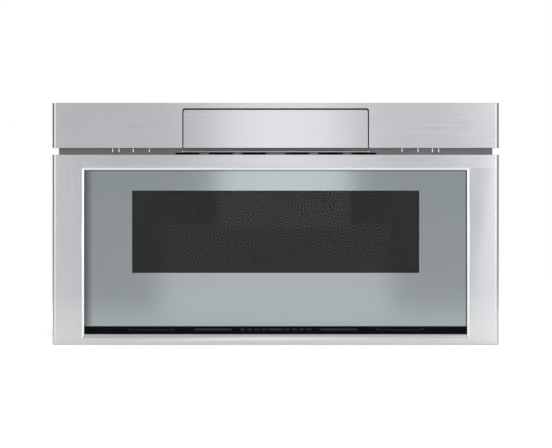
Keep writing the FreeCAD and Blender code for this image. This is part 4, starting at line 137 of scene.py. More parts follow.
def ranged(tree, value, low, high, start=0.0, end=1.0):
    """A value moved from the range start to end into the range low to high."""
    node = add_node(tree, "MapRange")
    for place, number in enumerate((value, start, end, low, high)):
        feed(tree, number, node.inputs[place])
    return node.outputs[0]


def shades(tree, mask, low, high):
    """A colour between two colours or outputs, by a mask."""
    node = add_node(tree, "Mix", {"data_type": "RGBA"})
    for place, value in ((0, mask), (6, low), (7, high)):
        feed(tree, value, node.inputs[place])
    return node.outputs[2]


def axes(tree, vector):
    """The three numbers of a vector."""
    node = add_node(tree, "SeparateXYZ")
    feed(tree, vector, node.inputs["Vector"])
    return node.outputs


def turned(tree, vector, degrees=(0, 0, 0), scale=(1, 1, 1)):
    """Coordinates turned or stretched by a Mapping node."""
    angles = tuple(math.radians(value) for value in degrees)
    node = add_node(tree, "Mapping", Rotation=angles, Scale=scale)
    feed(tree, vector, node.inputs["Vector"])
    return node.outputs["Vector"]


def texture(tree, kind, vector, settings=None, **inputs):
    """A texture node on a vector."""
    node = add_node(tree, "Tex" + kind, settings, **inputs)
    feed(tree, vector, node.inputs["Vector"])
    return node.outputs


print("node helpers ready")

# %% [markdown]
# ## Shared effects
# Brushing is noise drawn out along one direction. Clouds are wide soft patches, where hands, wiping
# and rolling left a sheet a little duller. Moulded grain is the fine spark-eroded texture of
# plastic. Spangle is the pattern of zinc crystals on galvanised sheet. A fifth effect is the grid of
# round holes of a microwave screen. Each is a node group that only hands out numbers, so each
# material can weigh them in its own way.


# %% Brushing, clouds and moulded grain
def new_group(name, outputs, **numbers):
    """A node group on a vector and some more numbers. It hands out numbers."""
    tree = bpy.data.node_groups.new(name, "ShaderNodeTree")
    tree.interface.new_socket("Vector", in_out="INPUT", socket_type="NodeSocketVector")
    for label, value in numbers.items():
        socket = tree.interface.new_socket(label, in_out="INPUT", socket_type="NodeSocketFloat")
        socket.default_value = value
    for label in outputs:
        tree.interface.new_socket(label, in_out="OUTPUT", socket_type="NodeSocketFloat")
    return tree, tree.nodes.new("NodeGroupInput").outputs, tree.nodes.new("NodeGroupOutput").inputs


def make_brushing():
    """Fine parallel scratches along X of the vector that it gets."""
    tree, given, made = new_group("brushing", ["Streak"])
    stretched = turned(tree, given["Vector"], scale=(14, 1900, 1900))
    fine = texture(tree, "Noise", stretched, Scale=1.0, Detail=3.0, Roughness=0.65)
    feed(tree, fine["Fac"], made["Streak"])
    return tree


def make_clouds():
    """Wide soft patches, about a tenth of a metre across, with finer ones in them."""
    tree, given, made = new_group("clouds", ["Patch"], Scale=9.0)
    wide = add_node(tree, "TexNoise", Detail=4.0, Roughness=0.55)
    feed(tree, given["Vector"], wide.inputs["Vector"])
    feed(tree, given["Scale"], wide.inputs["Scale"])
    feed(tree, wide.outputs["Fac"], made["Patch"])
    return tree


def make_moulded_grain():
    """The even pebbled texture of moulded plastic, and a slight drift of its shade."""
    tree, given, made = new_group("moulded_grain", ["Height", "Shade"])
    pebbles = texture(tree, "Voronoi", given["Vector"], {"feature": "SMOOTH_F1"}, Scale=1100.0)
    drift = texture(tree, "Noise", given["Vector"], Scale=24.0, Detail=3.0)
    feed(tree, pebbles["Distance"], made["Height"])
    feed(tree, drift["Fac"], made["Shade"])
    return tree


BRUSHING = make_brushing()
CLOUDS = make_clouds()
MOULDED_GRAIN = make_moulded_grain()
print("groups:", [tree.name for tree in bpy.data.node_groups])


# %% Spangle and the grid of holes
def make_spangle():
    """Zinc crystals: flat cells, each of its own shade, with frosted noise in them."""
    tree, given, made = new_group("spangle", ["Shade", "Height"])
    cells = texture(tree, "Voronoi", given["Vector"], Scale=130.0, Randomness=1.0)
    frost = texture(tree, "Noise", given["Vector"], Scale=700.0, Detail=2.0)
    split = add_node(tree, "SeparateColor")
    feed(tree, cells["Color"], split.inputs["Color"])
    feed(tree, share_out(tree, split.outputs["Red"], 0.75, frost["Fac"]), made["Shade"])
    feed(tree, frost["Fac"], made["Height"])
    return tree


def make_hole_grid():
    """Round holes in staggered rows on X and Z. Hole is 1 in a hole, 0 on the metal between."""
    tree, given, made = new_group("hole_grid", ["Hole"], Pitch=2.2 * MM, Radius=0.8 * MM)
    spot = axes(tree, given["Vector"])
    row_pitch = calc(tree, "MULTIPLY", given["Pitch"], math.sqrt(3) / 2)
    row = calc(tree, "DIVIDE", spot["Z"], row_pitch)
    odd = calc(tree, "MODULO", calc(tree, "FLOOR", row), 2)
    half_step = calc(tree, "MULTIPLY", odd, 0.5)
    along = calc(tree, "ADD", calc(tree, "DIVIDE", spot["X"], given["Pitch"]), half_step)
    squares = []
    for place, pitch in ((along, given["Pitch"]), (row, row_pitch)):
        off = calc(tree, "SUBTRACT", calc(tree, "FRACT", place), 0.5)
        squares.append(calc(tree, "POWER", calc(tree, "MULTIPLY", off, pitch), 2))
    reach = calc(tree, "SQRT", calc(tree, "ADD", *squares))
    feed(tree, calc(tree, "LESS_THAN", reach, given["Radius"]), made["Hole"])
    return tree


SPANGLE = make_spangle()
HOLE_GRID = make_hole_grid()
print("groups:", len(bpy.data.node_groups))

# %% [markdown]
# ## What every finish starts with
# Each material gets a Principled shader and Object coordinates. All pieces sit at the origin with
# their place in the mesh, so these coordinates are metres on the real object, and a grain runs on
# from one piece to the next as it does on real sheet cut from one coil. In most finishes one mask
# moves both the colour and the roughness, because both come from the same grain and wear.


# %% The start of a material
def new_material(name, **constants):
    """A material with a Principled shader. Gives the material, its tree, shader and coordinates."""
    material = bpy.data.materials.new(name)
    material.use_nodes = True
    tree = material.node_tree
    tree.nodes.clear()
    shader = add_node(tree, "BsdfPrincipled", **constants)
    feed(tree, shader.outputs["BSDF"], add_node(tree, "OutputMaterial").inputs["Surface"])
    return material, tree, shader, add_node(tree, "TexCoord").outputs["Object"]


def effect(tree, group, vector, **inputs):
    """A group placed in a material. Gives its outputs."""
    node = add_node(tree, "Group", {"node_tree": group}, **inputs)
    feed(tree, vector, node.inputs["Vector"])
    return node.outputs


def set_look(tree, shader, mask, low, high, rough, span=(0.0, 1.0)):
    """One mask moves the colour between two, and the roughness between two."""
    feed(tree, shades(tree, mask, low, high), shader.inputs["Base Color"])
    feed(tree, ranged(tree, mask, *rough, *span), shader.inputs["Roughness"])


def raise_surface(tree, shader, height, strength, distance):
    """Feeds a height through a Bump node into the shader's normal."""
    bump = add_node(tree, "Bump", Strength=strength, Distance=distance)
    feed(tree, height, bump.inputs["Height"])
    feed(tree, bump.outputs["Normal"], shader.inputs["Normal"])


NOISE_SPAN = (0.3, 0.7)
print("material helpers ready, most noise lies within", NOISE_SPAN)

# %% [markdown]
# ## Stainless steel
# The fronts are brushed stainless sheet. Long fine scratches along the sheet make it satin, and
# they widen highlights across the grain. Real brushed steel is even from afar, so the streaks only
# move the roughness and the shade by a few percent. On the drawer's border the grain changes
# direction at the mitred corners, as on a picture frame, and painted light makes the sheet paler
# towards the sides and the foot. The bevel round the glass is polished, and its near-white colour
# is a painted highlight.

# %% Brushed stainless
STEEL_LOW = (0.495, 0.505, 0.523)
STEEL_HIGH = (0.615, 0.626, 0.646)
SATIN = (0.16, 0.22)
SCRATCH = 0.1 * MM


def brushed_steel(name, low, high, rough=SATIN):
    """Satin stainless sheet with its grain along X."""
    material, tree, shader, place = new_material(name, Metallic=1.0)
    streak = effect(tree, BRUSHING, place)["Streak"]
    mask = share_out(tree, streak, 0.7, effect(tree, CLOUDS, place, Scale=7.0)["Patch"])
    set_look(tree, shader, mask, low, high, rough, NOISE_SPAN)
    raise_surface(tree, shader, streak, 0.05, SCRATCH)
    return material


band_steel = brushed_steel("band_steel", STEEL_LOW, STEEL_HIGH)
flap_steel = brushed_steel("flap_steel", STEEL_LOW, STEEL_HIGH, rough=(0.12, 0.17))
tub_steel = brushed_steel("tub_steel", (0.42, 0.42, 0.42), (0.58, 0.58, 0.575), rough=(0.24, 0.4))
print("three brushed steels")

# %% The border's steel, with mitred grain, and its polished bevel
# Painted light makes the border paler towards its sides and foot: the lifts say how much, the fades say
# where, in widths of the border.
SIDE_PAINTED_LIGHT = 0.45
SIDE_FADE = (2.2, 0.6)
FOOT_PAINTED_LIGHT = 0.7
LOW_FADE = 6
PAINTED_LIGHT_STEEL = (0.78, 0.79, 0.80)


def mitred_steel():
    """Stainless with its grain along each border, changing at the mitres, and painted light on its sides and
    foot.
    """
    material, tree, shader, place = new_material("border_steel", Metallic=1.0)
    low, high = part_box("front_frame")
    glass_foot, glass_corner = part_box("lower_grille")[0].z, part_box("door_glass")[1]
    side, top, bottom = high.x - glass_corner.x, high.z - glass_corner.z, glass_foot - low.z
    spot = axes(tree, place)
    outwards = calc(tree, "ABSOLUTE", spot["X"])
    across = calc(tree, "DIVIDE", calc(tree, "SUBTRACT", high.x, outwards), side)
    from_top = calc(tree, "DIVIDE", calc(tree, "SUBTRACT", high.z, spot["Z"]), top)
    from_bottom = calc(tree, "DIVIDE", calc(tree, "SUBTRACT", spot["Z"], low.z), bottom)
    grain = add_node(tree, "Mix", {"data_type": "FLOAT"})
    upright = calc(tree, "LESS_THAN", across, calc(tree, "MINIMUM", from_top, from_bottom))
    feed(tree, upright, grain.inputs[0])
    feed(tree, effect(tree, BRUSHING, place)["Streak"], grain.inputs[2])
    feed(tree, effect(tree, BRUSHING, turned(tree, place, (0, 90, 0)))["Streak"], grain.inputs[3])
    streak = grain.outputs[0]
    mask = share_out(tree, streak, 0.7, effect(tree, CLOUDS, place, Scale=7.0)["Patch"])
    # Painted light: the border is painted paler towards its sides and towards its foot.
    fade = [high.x - widths * side for widths in SIDE_FADE]
    painted_side_light = ranged(tree, outwards, 0.0, SIDE_PAINTED_LIGHT, *fade)
    painted_foot_light = ranged(tree, spot["Z"], FOOT_PAINTED_LIGHT, 0.0, glass_foot, glass_foot + LOW_FADE * bottom)
    shade = shades(tree, calc(tree, "ADD", mask, painted_side_light), STEEL_LOW, STEEL_HIGH)
    feed(tree, shades(tree, painted_foot_light, shade, PAINTED_LIGHT_STEEL), shader.inputs["Base Color"])
    feed(tree, ranged(tree, mask, *SATIN, *NOISE_SPAN), shader.inputs["Roughness"])
    raise_surface(tree, shader, streak, 0.05, SCRATCH)
    return material


def polished_bevel_with_painted_highlight():
    """The bevel round the glass: polished, with the faint lines of the grinding belt, and a near-white
    painted highlight.
    """
    material, tree, shader, place = new_material("polished_bevel_with_painted_highlight", Metallic=1.0)
    streak = effect(tree, BRUSHING, place)["Streak"]
    # The near-white colours, far above the brushed sheet's, are a painted highlight.
    set_look(tree, shader, streak, (0.88, 0.88, 0.885), (0.97, 0.97, 0.97), (0.1, 0.18))
    raise_surface(tree, shader, streak, 0.03, SCRATCH)
    return material


border_steel = mitred_steel()
bevel_steel_with_painted_highlight = polished_bevel_with_painted_highlight()
print("border and bevel finishes")

# %% [markdown]
# ## Plain metals and sheet
# The case is galvanised sheet with its zinc spangle. The mounting plate and brackets are zinc
# plated, which looks like a grey metal with soft clouds. The plate and the band's brackets, seen
# deep in the gap, take a darker grey than the other brackets: partly their zinc, partly painted
# shade of that gap. The oven's cavity is stainless too, but rolled, not brushed. Rails, screws and
# balls are bright zinc or hardened steel.


# %% Galvanised, plated and rolled steel
def galvanised_sheet():
    """Zinc-coated sheet with its crystals."""
    material, tree, shader, place = new_material("galvanised_sheet", Metallic=0.85)
    cells = effect(tree, SPANGLE, place)
    mask = share_out(tree, cells["Shade"], 0.6, effect(tree, CLOUDS, place, Scale=5.0)["Patch"])
    feed(tree, shades(tree, mask, (0.26, 0.27, 0.28), (0.50, 0.51, 0.52)), shader.inputs["Base Color"])
    feed(tree, ranged(tree, cells["Shade"], 0.34, 0.55), shader.inputs["Roughness"])
    raise_surface(tree, shader, cells["Height"], 0.08, 0.2 * MM)
    return material


def plated_steel(name, low, high, rough, cloud=12.0):
    """Plated or rolled sheet: soft clouds and faint rolling lines."""
    material, tree, shader, place = new_material(name, Metallic=0.9)
    patch = effect(tree, CLOUDS, place, Scale=cloud)["Patch"]
    streak = effect(tree, BRUSHING, turned(tree, place, (0, 0, 90)))["Streak"]
    set_look(tree, shader, share_out(tree, patch, 0.75, streak), low, high, rough, NOISE_SPAN)
    raise_surface(tree, shader, patch, 0.05, 0.5 * MM)
    return material


case_zinc = galvanised_sheet()
# The plate's grey, darker than the brackets', is partly painted shade of the deep gap where it shows.
plate_zinc_with_painted_shade = plated_steel("plate_zinc_with_painted_shade", (0.20, 0.20, 0.205), (0.32, 0.32, 0.325), (0.36, 0.5))
bracket_zinc = plated_steel("bracket_zinc", (0.48, 0.48, 0.49), (0.64, 0.64, 0.65), (0.28, 0.42))
oven_steel = plated_steel("oven_steel", (0.40, 0.395, 0.385), (0.55, 0.545, 0.53), (0.3, 0.45), cloud=8.0)
rail_steel = plated_steel("rail_steel", (0.46, 0.47, 0.49), (0.66, 0.67, 0.69), (0.2, 0.34), cloud=30.0)
screw_zinc = plated_steel("screw_zinc", (0.70, 0.70, 0.69), (0.86, 0.86, 0.84), (0.18, 0.3), cloud=200.0)
print("plain metals")

# %% [markdown]
# ## Plastics, rubber, ceramic and mica
# Moulded plastic has a spark-eroded grain and a shade that drifts a little. The rubber bumpers are
# matt black. The shelf in the drawer is a pale glass ceramic with fine specks, and the plate over
# the turning antenna is mica board, a warm silvery grey with flakes in it.


# %% Moulded plastics and rubber
def moulded_plastic(name, low, high, rough=(0.4, 0.55), bump=0.12, gloss=0.5):
    """Grained plastic in one colour."""
    material, tree, shader, place = new_material(name, Specular_IOR_Level=gloss)
    grain = effect(tree, MOULDED_GRAIN, place)
    set_look(tree, shader, grain["Shade"], low, high, rough, NOISE_SPAN)
    raise_surface(tree, shader, grain["Height"], bump, 0.3 * MM)
    return material


strip_black = moulded_plastic(
    "strip_black", (0.002, 0.002, 0.0022), (0.0035, 0.0035, 0.004), (0.3, 0.42), 0.06, gloss=0.05
)
cover_black = moulded_plastic("cover_black", (0.012, 0.012, 0.0125), (0.022, 0.022, 0.023))
carrier_grey = moulded_plastic("carrier_grey", (0.038, 0.039, 0.040), (0.060, 0.061, 0.062))
housing_grey = moulded_plastic("housing_grey", (0.045, 0.046, 0.048), (0.07, 0.071, 0.074))
white_plastic = moulded_plastic("white_plastic", (0.68, 0.67, 0.64), (0.78, 0.77, 0.74))
fan_plastic = moulded_plastic("fan_plastic", (0.10, 0.10, 0.10), (0.15, 0.15, 0.15))
bumper_rubber = moulded_plastic(
    "bumper_rubber", (0.010, 0.010, 0.010), (0.018, 0.018, 0.018), (0.7, 0.85), 0.2
)
print("plastics and rubber")


# %% Glass ceramic and mica
def glass_ceramic():
    """Pale smooth ceramic with fine darker specks under its gloss."""
    material, tree, shader, place = new_material("glass_ceramic", IOR=1.52)
    noise = texture(tree, "Noise", place, Scale=1400.0, Detail=2.0, Roughness=0.7)
    specks = ranged(tree, noise["Fac"], 0.0, 1.0, 0.62, 0.70)
    patch = effect(tree, CLOUDS, place, Scale=16.0)["Patch"]
    ground = shades(tree, patch, (0.66, 0.665, 0.65), (0.74, 0.745, 0.73))
    feed(tree, shades(tree, specks, ground, (0.33, 0.34, 0.34)), shader.inputs["Base Color"])
    feed(tree, ranged(tree, patch, 0.12, 0.24), shader.inputs["Roughness"])
    raise_surface(tree, shader, patch, 0.04, 0.5 * MM)
    return material


def mica_board():
    """Pressed mica: warm grey flakes that catch the light one by one."""
    material, tree, shader, place = new_material("mica_board")
    flakes = texture(tree, "Voronoi", place, Scale=420.0)
    tone = axes(tree, flakes["Color"])["X"]
    set_look(tree, shader, tone, (0.42, 0.39, 0.33), (0.62, 0.59, 0.52), (0.28, 0.6))
    raise_surface(tree, shader, tone, 0.1, 0.3 * MM)
    return material


shelf_ceramic = glass_ceramic()
cover_mica = mica_board()
print("ceramic and mica")

# %% [markdown]
# ## The glass front
# The outer glass is tinted glass with a mirror coating behind it, printed away over the window. In
# daylight the coating looks teal grey and shows a soft image of the room. A painted reflection makes
# the coating lighter towards its foot, and painted shadow of the frame's lip darkens it at the left
# side, and in a narrow line at the right side and the top. Behind the window lies the perforated
# screen that keeps the microwaves in: dark sheet with thousands of round holes, whose darker colour
# is painted shade of the oven behind. The window's IOR is 1.2, lower than real glass has, because at
# 1.5 the pane would mirror more of the room than the real window shows.

# %% Outer glass
LEFT_SHADE = 15 * MM
EDGE_SHADE = 3 * MM
COVERED_EDGE = 6 * MM
TEAL_TOP = (0.332, 0.370, 0.384)
TEAL_FOOT = (0.404, 0.442, 0.458)
PAINTED_LIP_SHADOW = (0.11, 0.12, 0.125)
SCREEN_PITCH = 2.6 * MM
SCREEN_HOLE = 0.95 * MM


def clear_glass():
    """Clear float glass with a faint green tint and wiping marks on it."""
    material, tree, shader, place = new_material(
        "clear_glass", Metallic=0.0, IOR=1.2, Transmission_Weight=1.0
    )
    patch = effect(tree, CLOUDS, place, Scale=4.0)["Patch"]
    set_look(tree, shader, patch, (0.955, 0.985, 0.975), (0.975, 0.995, 0.99), (0.0, 0.02))
    return material


def mirror_coat():
    """The teal grey mirror layer, with painted shadow along its left, right and top edges and a painted
    reflection lighter towards its foot.
    """
    material, tree, shader, place = new_material("mirror_coat", Metallic=1.0)
    low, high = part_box("glass_mask")
    side, top = high.x - COVERED_EDGE, high.z - COVERED_EDGE
    spot = axes(tree, place)
    # Painted shadow: the coating is painted darker where the frame's lip shades it, at the left side, the
    # right side and the top.
    from_left = ranged(tree, spot["X"], 0.0, 1.0, -side, LEFT_SHADE - side)
    from_right = ranged(tree, spot["X"], 1.0, 0.0, side - EDGE_SHADE, side - 0.5 * EDGE_SHADE)
    from_top = ranged(tree, spot["Z"], 1.0, 0.0, top - EDGE_SHADE, top)
    inside = calc(tree, "MULTIPLY", calc(tree, "MULTIPLY", from_left, from_right), from_top)
    patch = effect(tree, CLOUDS, place, Scale=3.0)["Patch"]
    # Painted reflection: the teal is painted lighter towards the foot of the glass.
    lower = ranged(tree, spot["Z"], 0.6, 0.0, low.z, high.z)
    mask = calc(tree, "ADD", lower, calc(tree, "MULTIPLY", patch, 0.4))
    teal = shades(tree, mask, TEAL_TOP, TEAL_FOOT)
    feed(tree, shades(tree, inside, PAINTED_LIP_SHADOW, teal), shader.inputs["Base Color"])
    feed(tree, ranged(tree, patch, 0.07, 0.11), shader.inputs["Roughness"])
    return material


def screen_sheet():
    """Dark perforated sheet whose painted holes are darker: painted shade of the oven behind."""
    material, tree, shader, place = new_material("screen_sheet", Metallic=0.0, Specular_IOR_Level=0.12)
    hole = effect(tree, HOLE_GRID, place, Pitch=SCREEN_PITCH, Radius=SCREEN_HOLE)["Hole"]
    patch = effect(tree, CLOUDS, place, Scale=6.0)["Patch"]
    metal = shades(tree, patch, (0.0055, 0.0055, 0.0055), (0.0075, 0.0075, 0.0075))
    # The holes are painted, not cut: their darker colour is painted shade of the unlit oven behind the
    # screen.
    feed(tree, shades(tree, hole, metal, (0.0045, 0.0045, 0.0045)), shader.inputs["Base Color"])
    feed(tree, ranged(tree, patch, 0.35, 0.5), shader.inputs["Roughness"])
    raise_surface(tree, shader, calc(tree, "SUBTRACT", 1.0, hole), 0.04, 0.3 * MM)
    return material


door_glass = clear_glass()
door_mirror = mirror_coat()
window_screen = screen_sheet()
print("glass finishes")


# %% Touch glass
def back_painted_glass():
    """Black glass over the keys: deep gloss, with the faintest smudges of fingers."""
    material, tree, shader, place = new_material("touch_black", IOR=1.5, Coat_Roughness=0.03)
    smudge = effect(tree, CLOUDS, place, Scale=38.0)["Patch"]
    dark, pale = (0.006, 0.0065, 0.007), (0.011, 0.0115, 0.012)
    set_look(tree, shader, smudge, dark, pale, (0.06, 0.22), (0.35, 0.7))
    feed(tree, ranged(tree, smudge, 0.9, 0.5), shader.inputs["Coat Weight"])
    return material


def key_print(name, low, high):
    """The printed marks of the keys, a little uneven as screen print is."""
    material, tree, shader, place = new_material(name)
    grain = effect(tree, MOULDED_GRAIN, place)
    set_look(tree, shader, grain["Shade"], low, high, (0.35, 0.5))
    raise_surface(tree, shader, grain["Height"], 0.05, 0.1 * MM)
    return material


touch_black = back_painted_glass()
key_white = key_print("key_white", (0.70, 0.71, 0.72), (0.80, 0.81, 0.82))
display_blue = key_print("display_blue", (0.10, 0.20, 0.24), (0.14, 0.26, 0.30))
print("touch glass finishes")

# %% [markdown]
# ## The electric parts
# The parts behind the oven are single solids with several materials in one piece: a transformer
# is a stack of steel sheets with varnished windings, a circuit board is green laminate with
# parts on it. Their finishes choose the look by place, from the piece's own box in the model.


# %% Windings, laminations and boards
def laminated_core(name, node_name, wound_half, along="y"):
    """Steel laminations, with varnished copper windings where the piece stands out of its core."""
    material, tree, shader, place = new_material(name)
    low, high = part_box(node_name)
    centre = getattr((low + high) / 2, along)
    off = calc(tree, "ABSOLUTE", calc(tree, "SUBTRACT", axes(tree, place)[along.upper()], centre))
    wound = calc(tree, "GREATER_THAN", off, wound_half)
    sheets = texture(tree, "Wave", place, {"bands_direction": "Y"}, Scale=420.0, Distortion=0.4)["Fac"]
    turns = texture(tree, "Wave", place, {"bands_direction": "Z"}, Scale=260.0, Distortion=0.8)["Fac"]
    steel = shades(tree, sheets, (0.10, 0.10, 0.11), (0.24, 0.24, 0.25))
    copper = shades(tree, turns, (0.20, 0.065, 0.02), (0.50, 0.20, 0.08))
    set_look(tree, shader, wound, steel, copper, (0.45, 0.28))
    feed(tree, ranged(tree, wound, 0.6, 0.8), shader.inputs["Metallic"])
    raise_surface(tree, shader, turns, 0.25, 0.5 * MM)
    return material


def circuit_board(name, node_name, board_low, board_high):
    """Green laminate with copper tracks under its lacquer, and black and grey parts above it."""
    material, tree, shader, place = new_material(name)
    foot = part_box(node_name)[0].z
    level = axes(tree, place)["Z"]
    tracks = texture(tree, "Brick", place, {"offset": 0.37}, Scale=90.0, Mortar_Size=0.03,
                     Color1=(0.012, 0.085, 0.030, 1), Color2=(0.016, 0.105, 0.040, 1),
                     Mortar=(0.035, 0.17, 0.07, 1))
    cells = texture(tree, "Voronoi", place, Scale=32.0)
    parts = shades(tree, axes(tree, cells["Color"])["X"], (0.015, 0.015, 0.016), (0.20, 0.20, 0.21))
    above = calc(tree, "GREATER_THAN", level, foot + board_high)
    under = calc(tree, "LESS_THAN", level, foot + board_low)
    set_look(tree, shader, calc(tree, "MAXIMUM", above, under), tracks["Color"], parts, (0.3, 0.45))
    raise_surface(tree, shader, tracks["Fac"], 0.1, 0.2 * MM)
    return material


DOME_DROP = 1 * MM


def magnetron_metal():
    """Zinc-plated yoke and flange with the lines of its fins, and a pinkish ceramic dome below."""
    material, tree, shader, place = new_material("magnetron_metal", Metallic=0.85)
    fins = texture(tree, "Wave", place, {"bands_direction": "Z"}, Scale=90.0)
    patch = effect(tree, CLOUDS, place, Scale=20.0)["Patch"]
    zinc = shades(tree, patch, (0.42, 0.42, 0.43), (0.62, 0.62, 0.63))
    dome = calc(tree, "LESS_THAN", axes(tree, place)["Z"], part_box("waveguide")[1].z - DOME_DROP)
    feed(tree, shades(tree, dome, zinc, (0.72, 0.50, 0.44)), shader.inputs["Base Color"])
    feed(tree, ranged(tree, patch, 0.3, 0.5), shader.inputs["Roughness"])
    raise_surface(tree, shader, fins["Fac"], 0.15, 0.4 * MM)
    return material


BOARD = 1.6 * MM
POWER_BOARD_LEVEL = 12 * MM
FILTER_BOARD_LEVEL = 8 * MM
TRANSFORMER_CORE = 27 * MM
FAN_MOTOR_CORE = 20 * MM
transformer_metal = laminated_core("transformer_metal", "hv_transformer", TRANSFORMER_CORE)
fan_motor_metal = laminated_core("fan_motor_metal", "fan_motor", FAN_MOTOR_CORE, along="z")
power_green = circuit_board("power_green", "power_board", POWER_BOARD_LEVEL, POWER_BOARD_LEVEL + BOARD)
filter_green = circuit_board("filter_green", "noise_filter", FILTER_BOARD_LEVEL, FILTER_BOARD_LEVEL + BOARD)
touch_green = circuit_board("touch_green", "touch_board", -BOARD, 2 * BOARD)
magnetron_zinc = magnetron_metal()
can_metal = plated_steel("can_metal", (0.50, 0.50, 0.51), (0.64, 0.64, 0.65), (0.25, 0.4), cloud=40.0)
motor_metal = plated_steel("motor_metal", (0.30, 0.30, 0.31), (0.48, 0.48, 0.49), (0.3, 0.45), cloud=60.0)
print("electric finishes")

# %% [markdown]
# ## Giving the model's solids their finish
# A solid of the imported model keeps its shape. Only the material in its slots changes. The table
# below names the finish of every piece, so that none is left with a flat colour.

# %% Finishes of the model's own solids
FINISHES = {
    case_zinc: ["base_plate", "outer_case", "rear_plate"],
    plate_zinc_with_painted_shade: ["front_plate", "band_brackets"],
    bracket_zinc: ["rail_brackets", "rail_arms", "striker", "interlock_bracket",
                   "back_panel", "choke_pan", "waveguide"],
    oven_steel: ["cavity_box"],
    rail_steel: ["outer_rail_left", "outer_rail_right", "middle_rail_left", "middle_rail_right",
                 "inner_rail_left", "inner_rail_right"],
    screw_zinc: ["case_screws", "drawer_screws"],
    band_steel: ["console_band"],
    flap_steel: ["flap_skin"],
    tub_steel: ["tub", "antenna_rotor"],
    border_steel: ["front_frame"],
    door_glass: ["door_glass"],
    door_mirror: ["glass_mask"],
    window_screen: ["window_screen"],
    strip_black: ["lower_grille"],
    cover_black: ["choke_cover", "cord_bushing", "interlock_switches"],
    carrier_grey: ["glass_carrier"],
    housing_grey: ["console_housing", "flap_carrier", "flap_latch"],
    white_plastic: ["drive_pinion", "rack", "rack_guide", "outer_ball_cages", "inner_ball_cages",
                    "switch_plungers"],
    fan_plastic: ["fan_shroud", "fan_wheel"],
    bumper_rubber: ["bumpers"],
    shelf_ceramic: ["ceramic_shelf"],
    cover_mica: ["antenna_cover"],
    touch_black: ["touch_glass"],
    touch_green: ["touch_board"],
    power_green: ["power_board"],
    filter_green: ["noise_filter"],
    magnetron_zinc: ["magnetron"],
    transformer_metal: ["hv_transformer"],
    fan_motor_metal: ["fan_motor"],
    can_metal: ["hv_capacitor", "thermal_cutouts"],
    motor_metal: ["antenna_motor", "drive_gearmotor", "cavity_lamp"],
}
for finish, names in FINISHES.items():
    for name in names:
        for place in NODES[name].material_slots:
            place.material = finish
finished = {name for names in FINISHES.values() for name in names}
print("without a finish:", sorted(set(NODES) - finished))

# %% [markdown]
# ## Modelling by hand, in code
# The pieces that the eye rests on are modelled again with Blender's own tools, because the packed
# solids have knife-sharp edges, and real folded sheet never has. The helpers below do what a
# modeller's hand does: clear the selection, add a primitive, pick faces or edges by their place,
# round, cut or draw them out, apply a modifier and hand the finished piece to the body that it
# moves with.


# %% Helpers for picking
def add_box(name, low, high):
    """A cube primitive stretched between two corners, its scale applied."""
    bpy.ops.object.select_all(action="DESELECT")
    low, high = Vector(low), Vector(high)
    bpy.ops.mesh.primitive_cube_add(size=1, location=(low + high) / 2, scale=high - low)
    bpy.ops.object.transform_apply(location=True, rotation=True, scale=True)
    bpy.context.object.name = name
    return bpy.context.object


@contextlib.contextmanager
def editing():
    """Edit mode for the lines that are indented under it."""
    bpy.ops.object.mode_set(mode="EDIT")
    yield
    bpy.ops.object.mode_set(mode="OBJECT")


def pick(kind, test):
    """In edit mode, selects only the faces, edges or vertices that pass a test."""
    bpy.ops.mesh.select_mode(type=kind)
    bpy.ops.mesh.select_all(action="DESELECT")
    mesh = bmesh.from_edit_mesh(bpy.context.object.data)
    items = {"FACE": mesh.faces, "EDGE": mesh.edges, "VERT": mesh.verts}[kind]
    picked = [item for item in items if test(item)]
    for item in picked:
        item.select_set(True)
    mesh.select_flush_mode()
    bmesh.update_edit_mesh(bpy.context.object.data)
    return len(picked)


# Two lengths closer than SAME count as one. TINY is the slack of finer tests.
SAME = 0.05 * MM
TINY = 0.01 * MM


def near(first, second, reach=SAME):
    """Whether two lengths are the same."""
    return abs(first - second) < reach


def middle_of(item):
    """The middle of a face or an edge, or the place of a vertex."""
    if isinstance(item, bmesh.types.BMFace):
        return item.calc_center_median()
    if isinstance(item, bmesh.types.BMEdge):
        return (item.verts[0].co + item.verts[1].co) / 2
    return item.co


def at(axis, level):
    """A test for faces, edges or vertices whose middle lies at a level along x, y or z."""
    return lambda item: near(getattr(middle_of(item), axis), level)


def runs_along(edge, axis):
    """Whether an edge runs along x, y or z."""
    step = edge.verts[1].co - edge.verts[0].co
    return abs(abs(getattr(step, axis)) - step.length) < TINY


print("picking helpers ready")


# %% Helpers for shaping
def slice_at(axis, *levels):
    """Cuts the whole mesh across x, y or z at some levels, and keeps both sides of each cut."""
    across = Vector([axis == name for name in "xyz"])
    for level in levels:
        bpy.ops.mesh.select_mode(type="FACE")
        bpy.ops.mesh.select_all(action="SELECT")
        bpy.ops.mesh.bisect(plane_co=level * across, plane_no=across)


def round_off(kind, test, offset, segments):
    """Bevels the edges, or the corners, that pass a test."""
    pick(kind, test)
    affected = "VERTICES" if kind == "VERT" else "EDGES"
    bpy.ops.mesh.bevel(offset=offset, segments=segments, affect=affected)


def draw_out(*way):
    """Extrudes what is selected."""
    bpy.ops.mesh.extrude_region_move(TRANSFORM_OT_translate={"value": way})


def take_off(test):
    """Deletes the faces that pass a test."""
    pick("FACE", test)
    bpy.ops.mesh.delete(type="FACE")


def use_modifier(kind, **settings):
    """Adds a modifier to the active piece and applies it."""
    modifier = bpy.context.object.modifiers.new(kind.lower(), kind)
    for name, value in settings.items():
        setattr(modifier, name, value)
    bpy.ops.object.modifier_apply(modifier=modifier.name)


def soften(width, angle, segments=2):
    """Rounds every edge that is sharper than an angle."""
    limit = math.radians(angle)
    use_modifier("BEVEL", width=width, segments=segments, limit_method="ANGLE", angle_limit=limit)


def thicken(wall):
    """Gives a skin its wall, inwards."""
    use_modifier("SOLIDIFY", thickness=wall, offset=-1, use_even_offset=True)


print("shaping helpers ready")


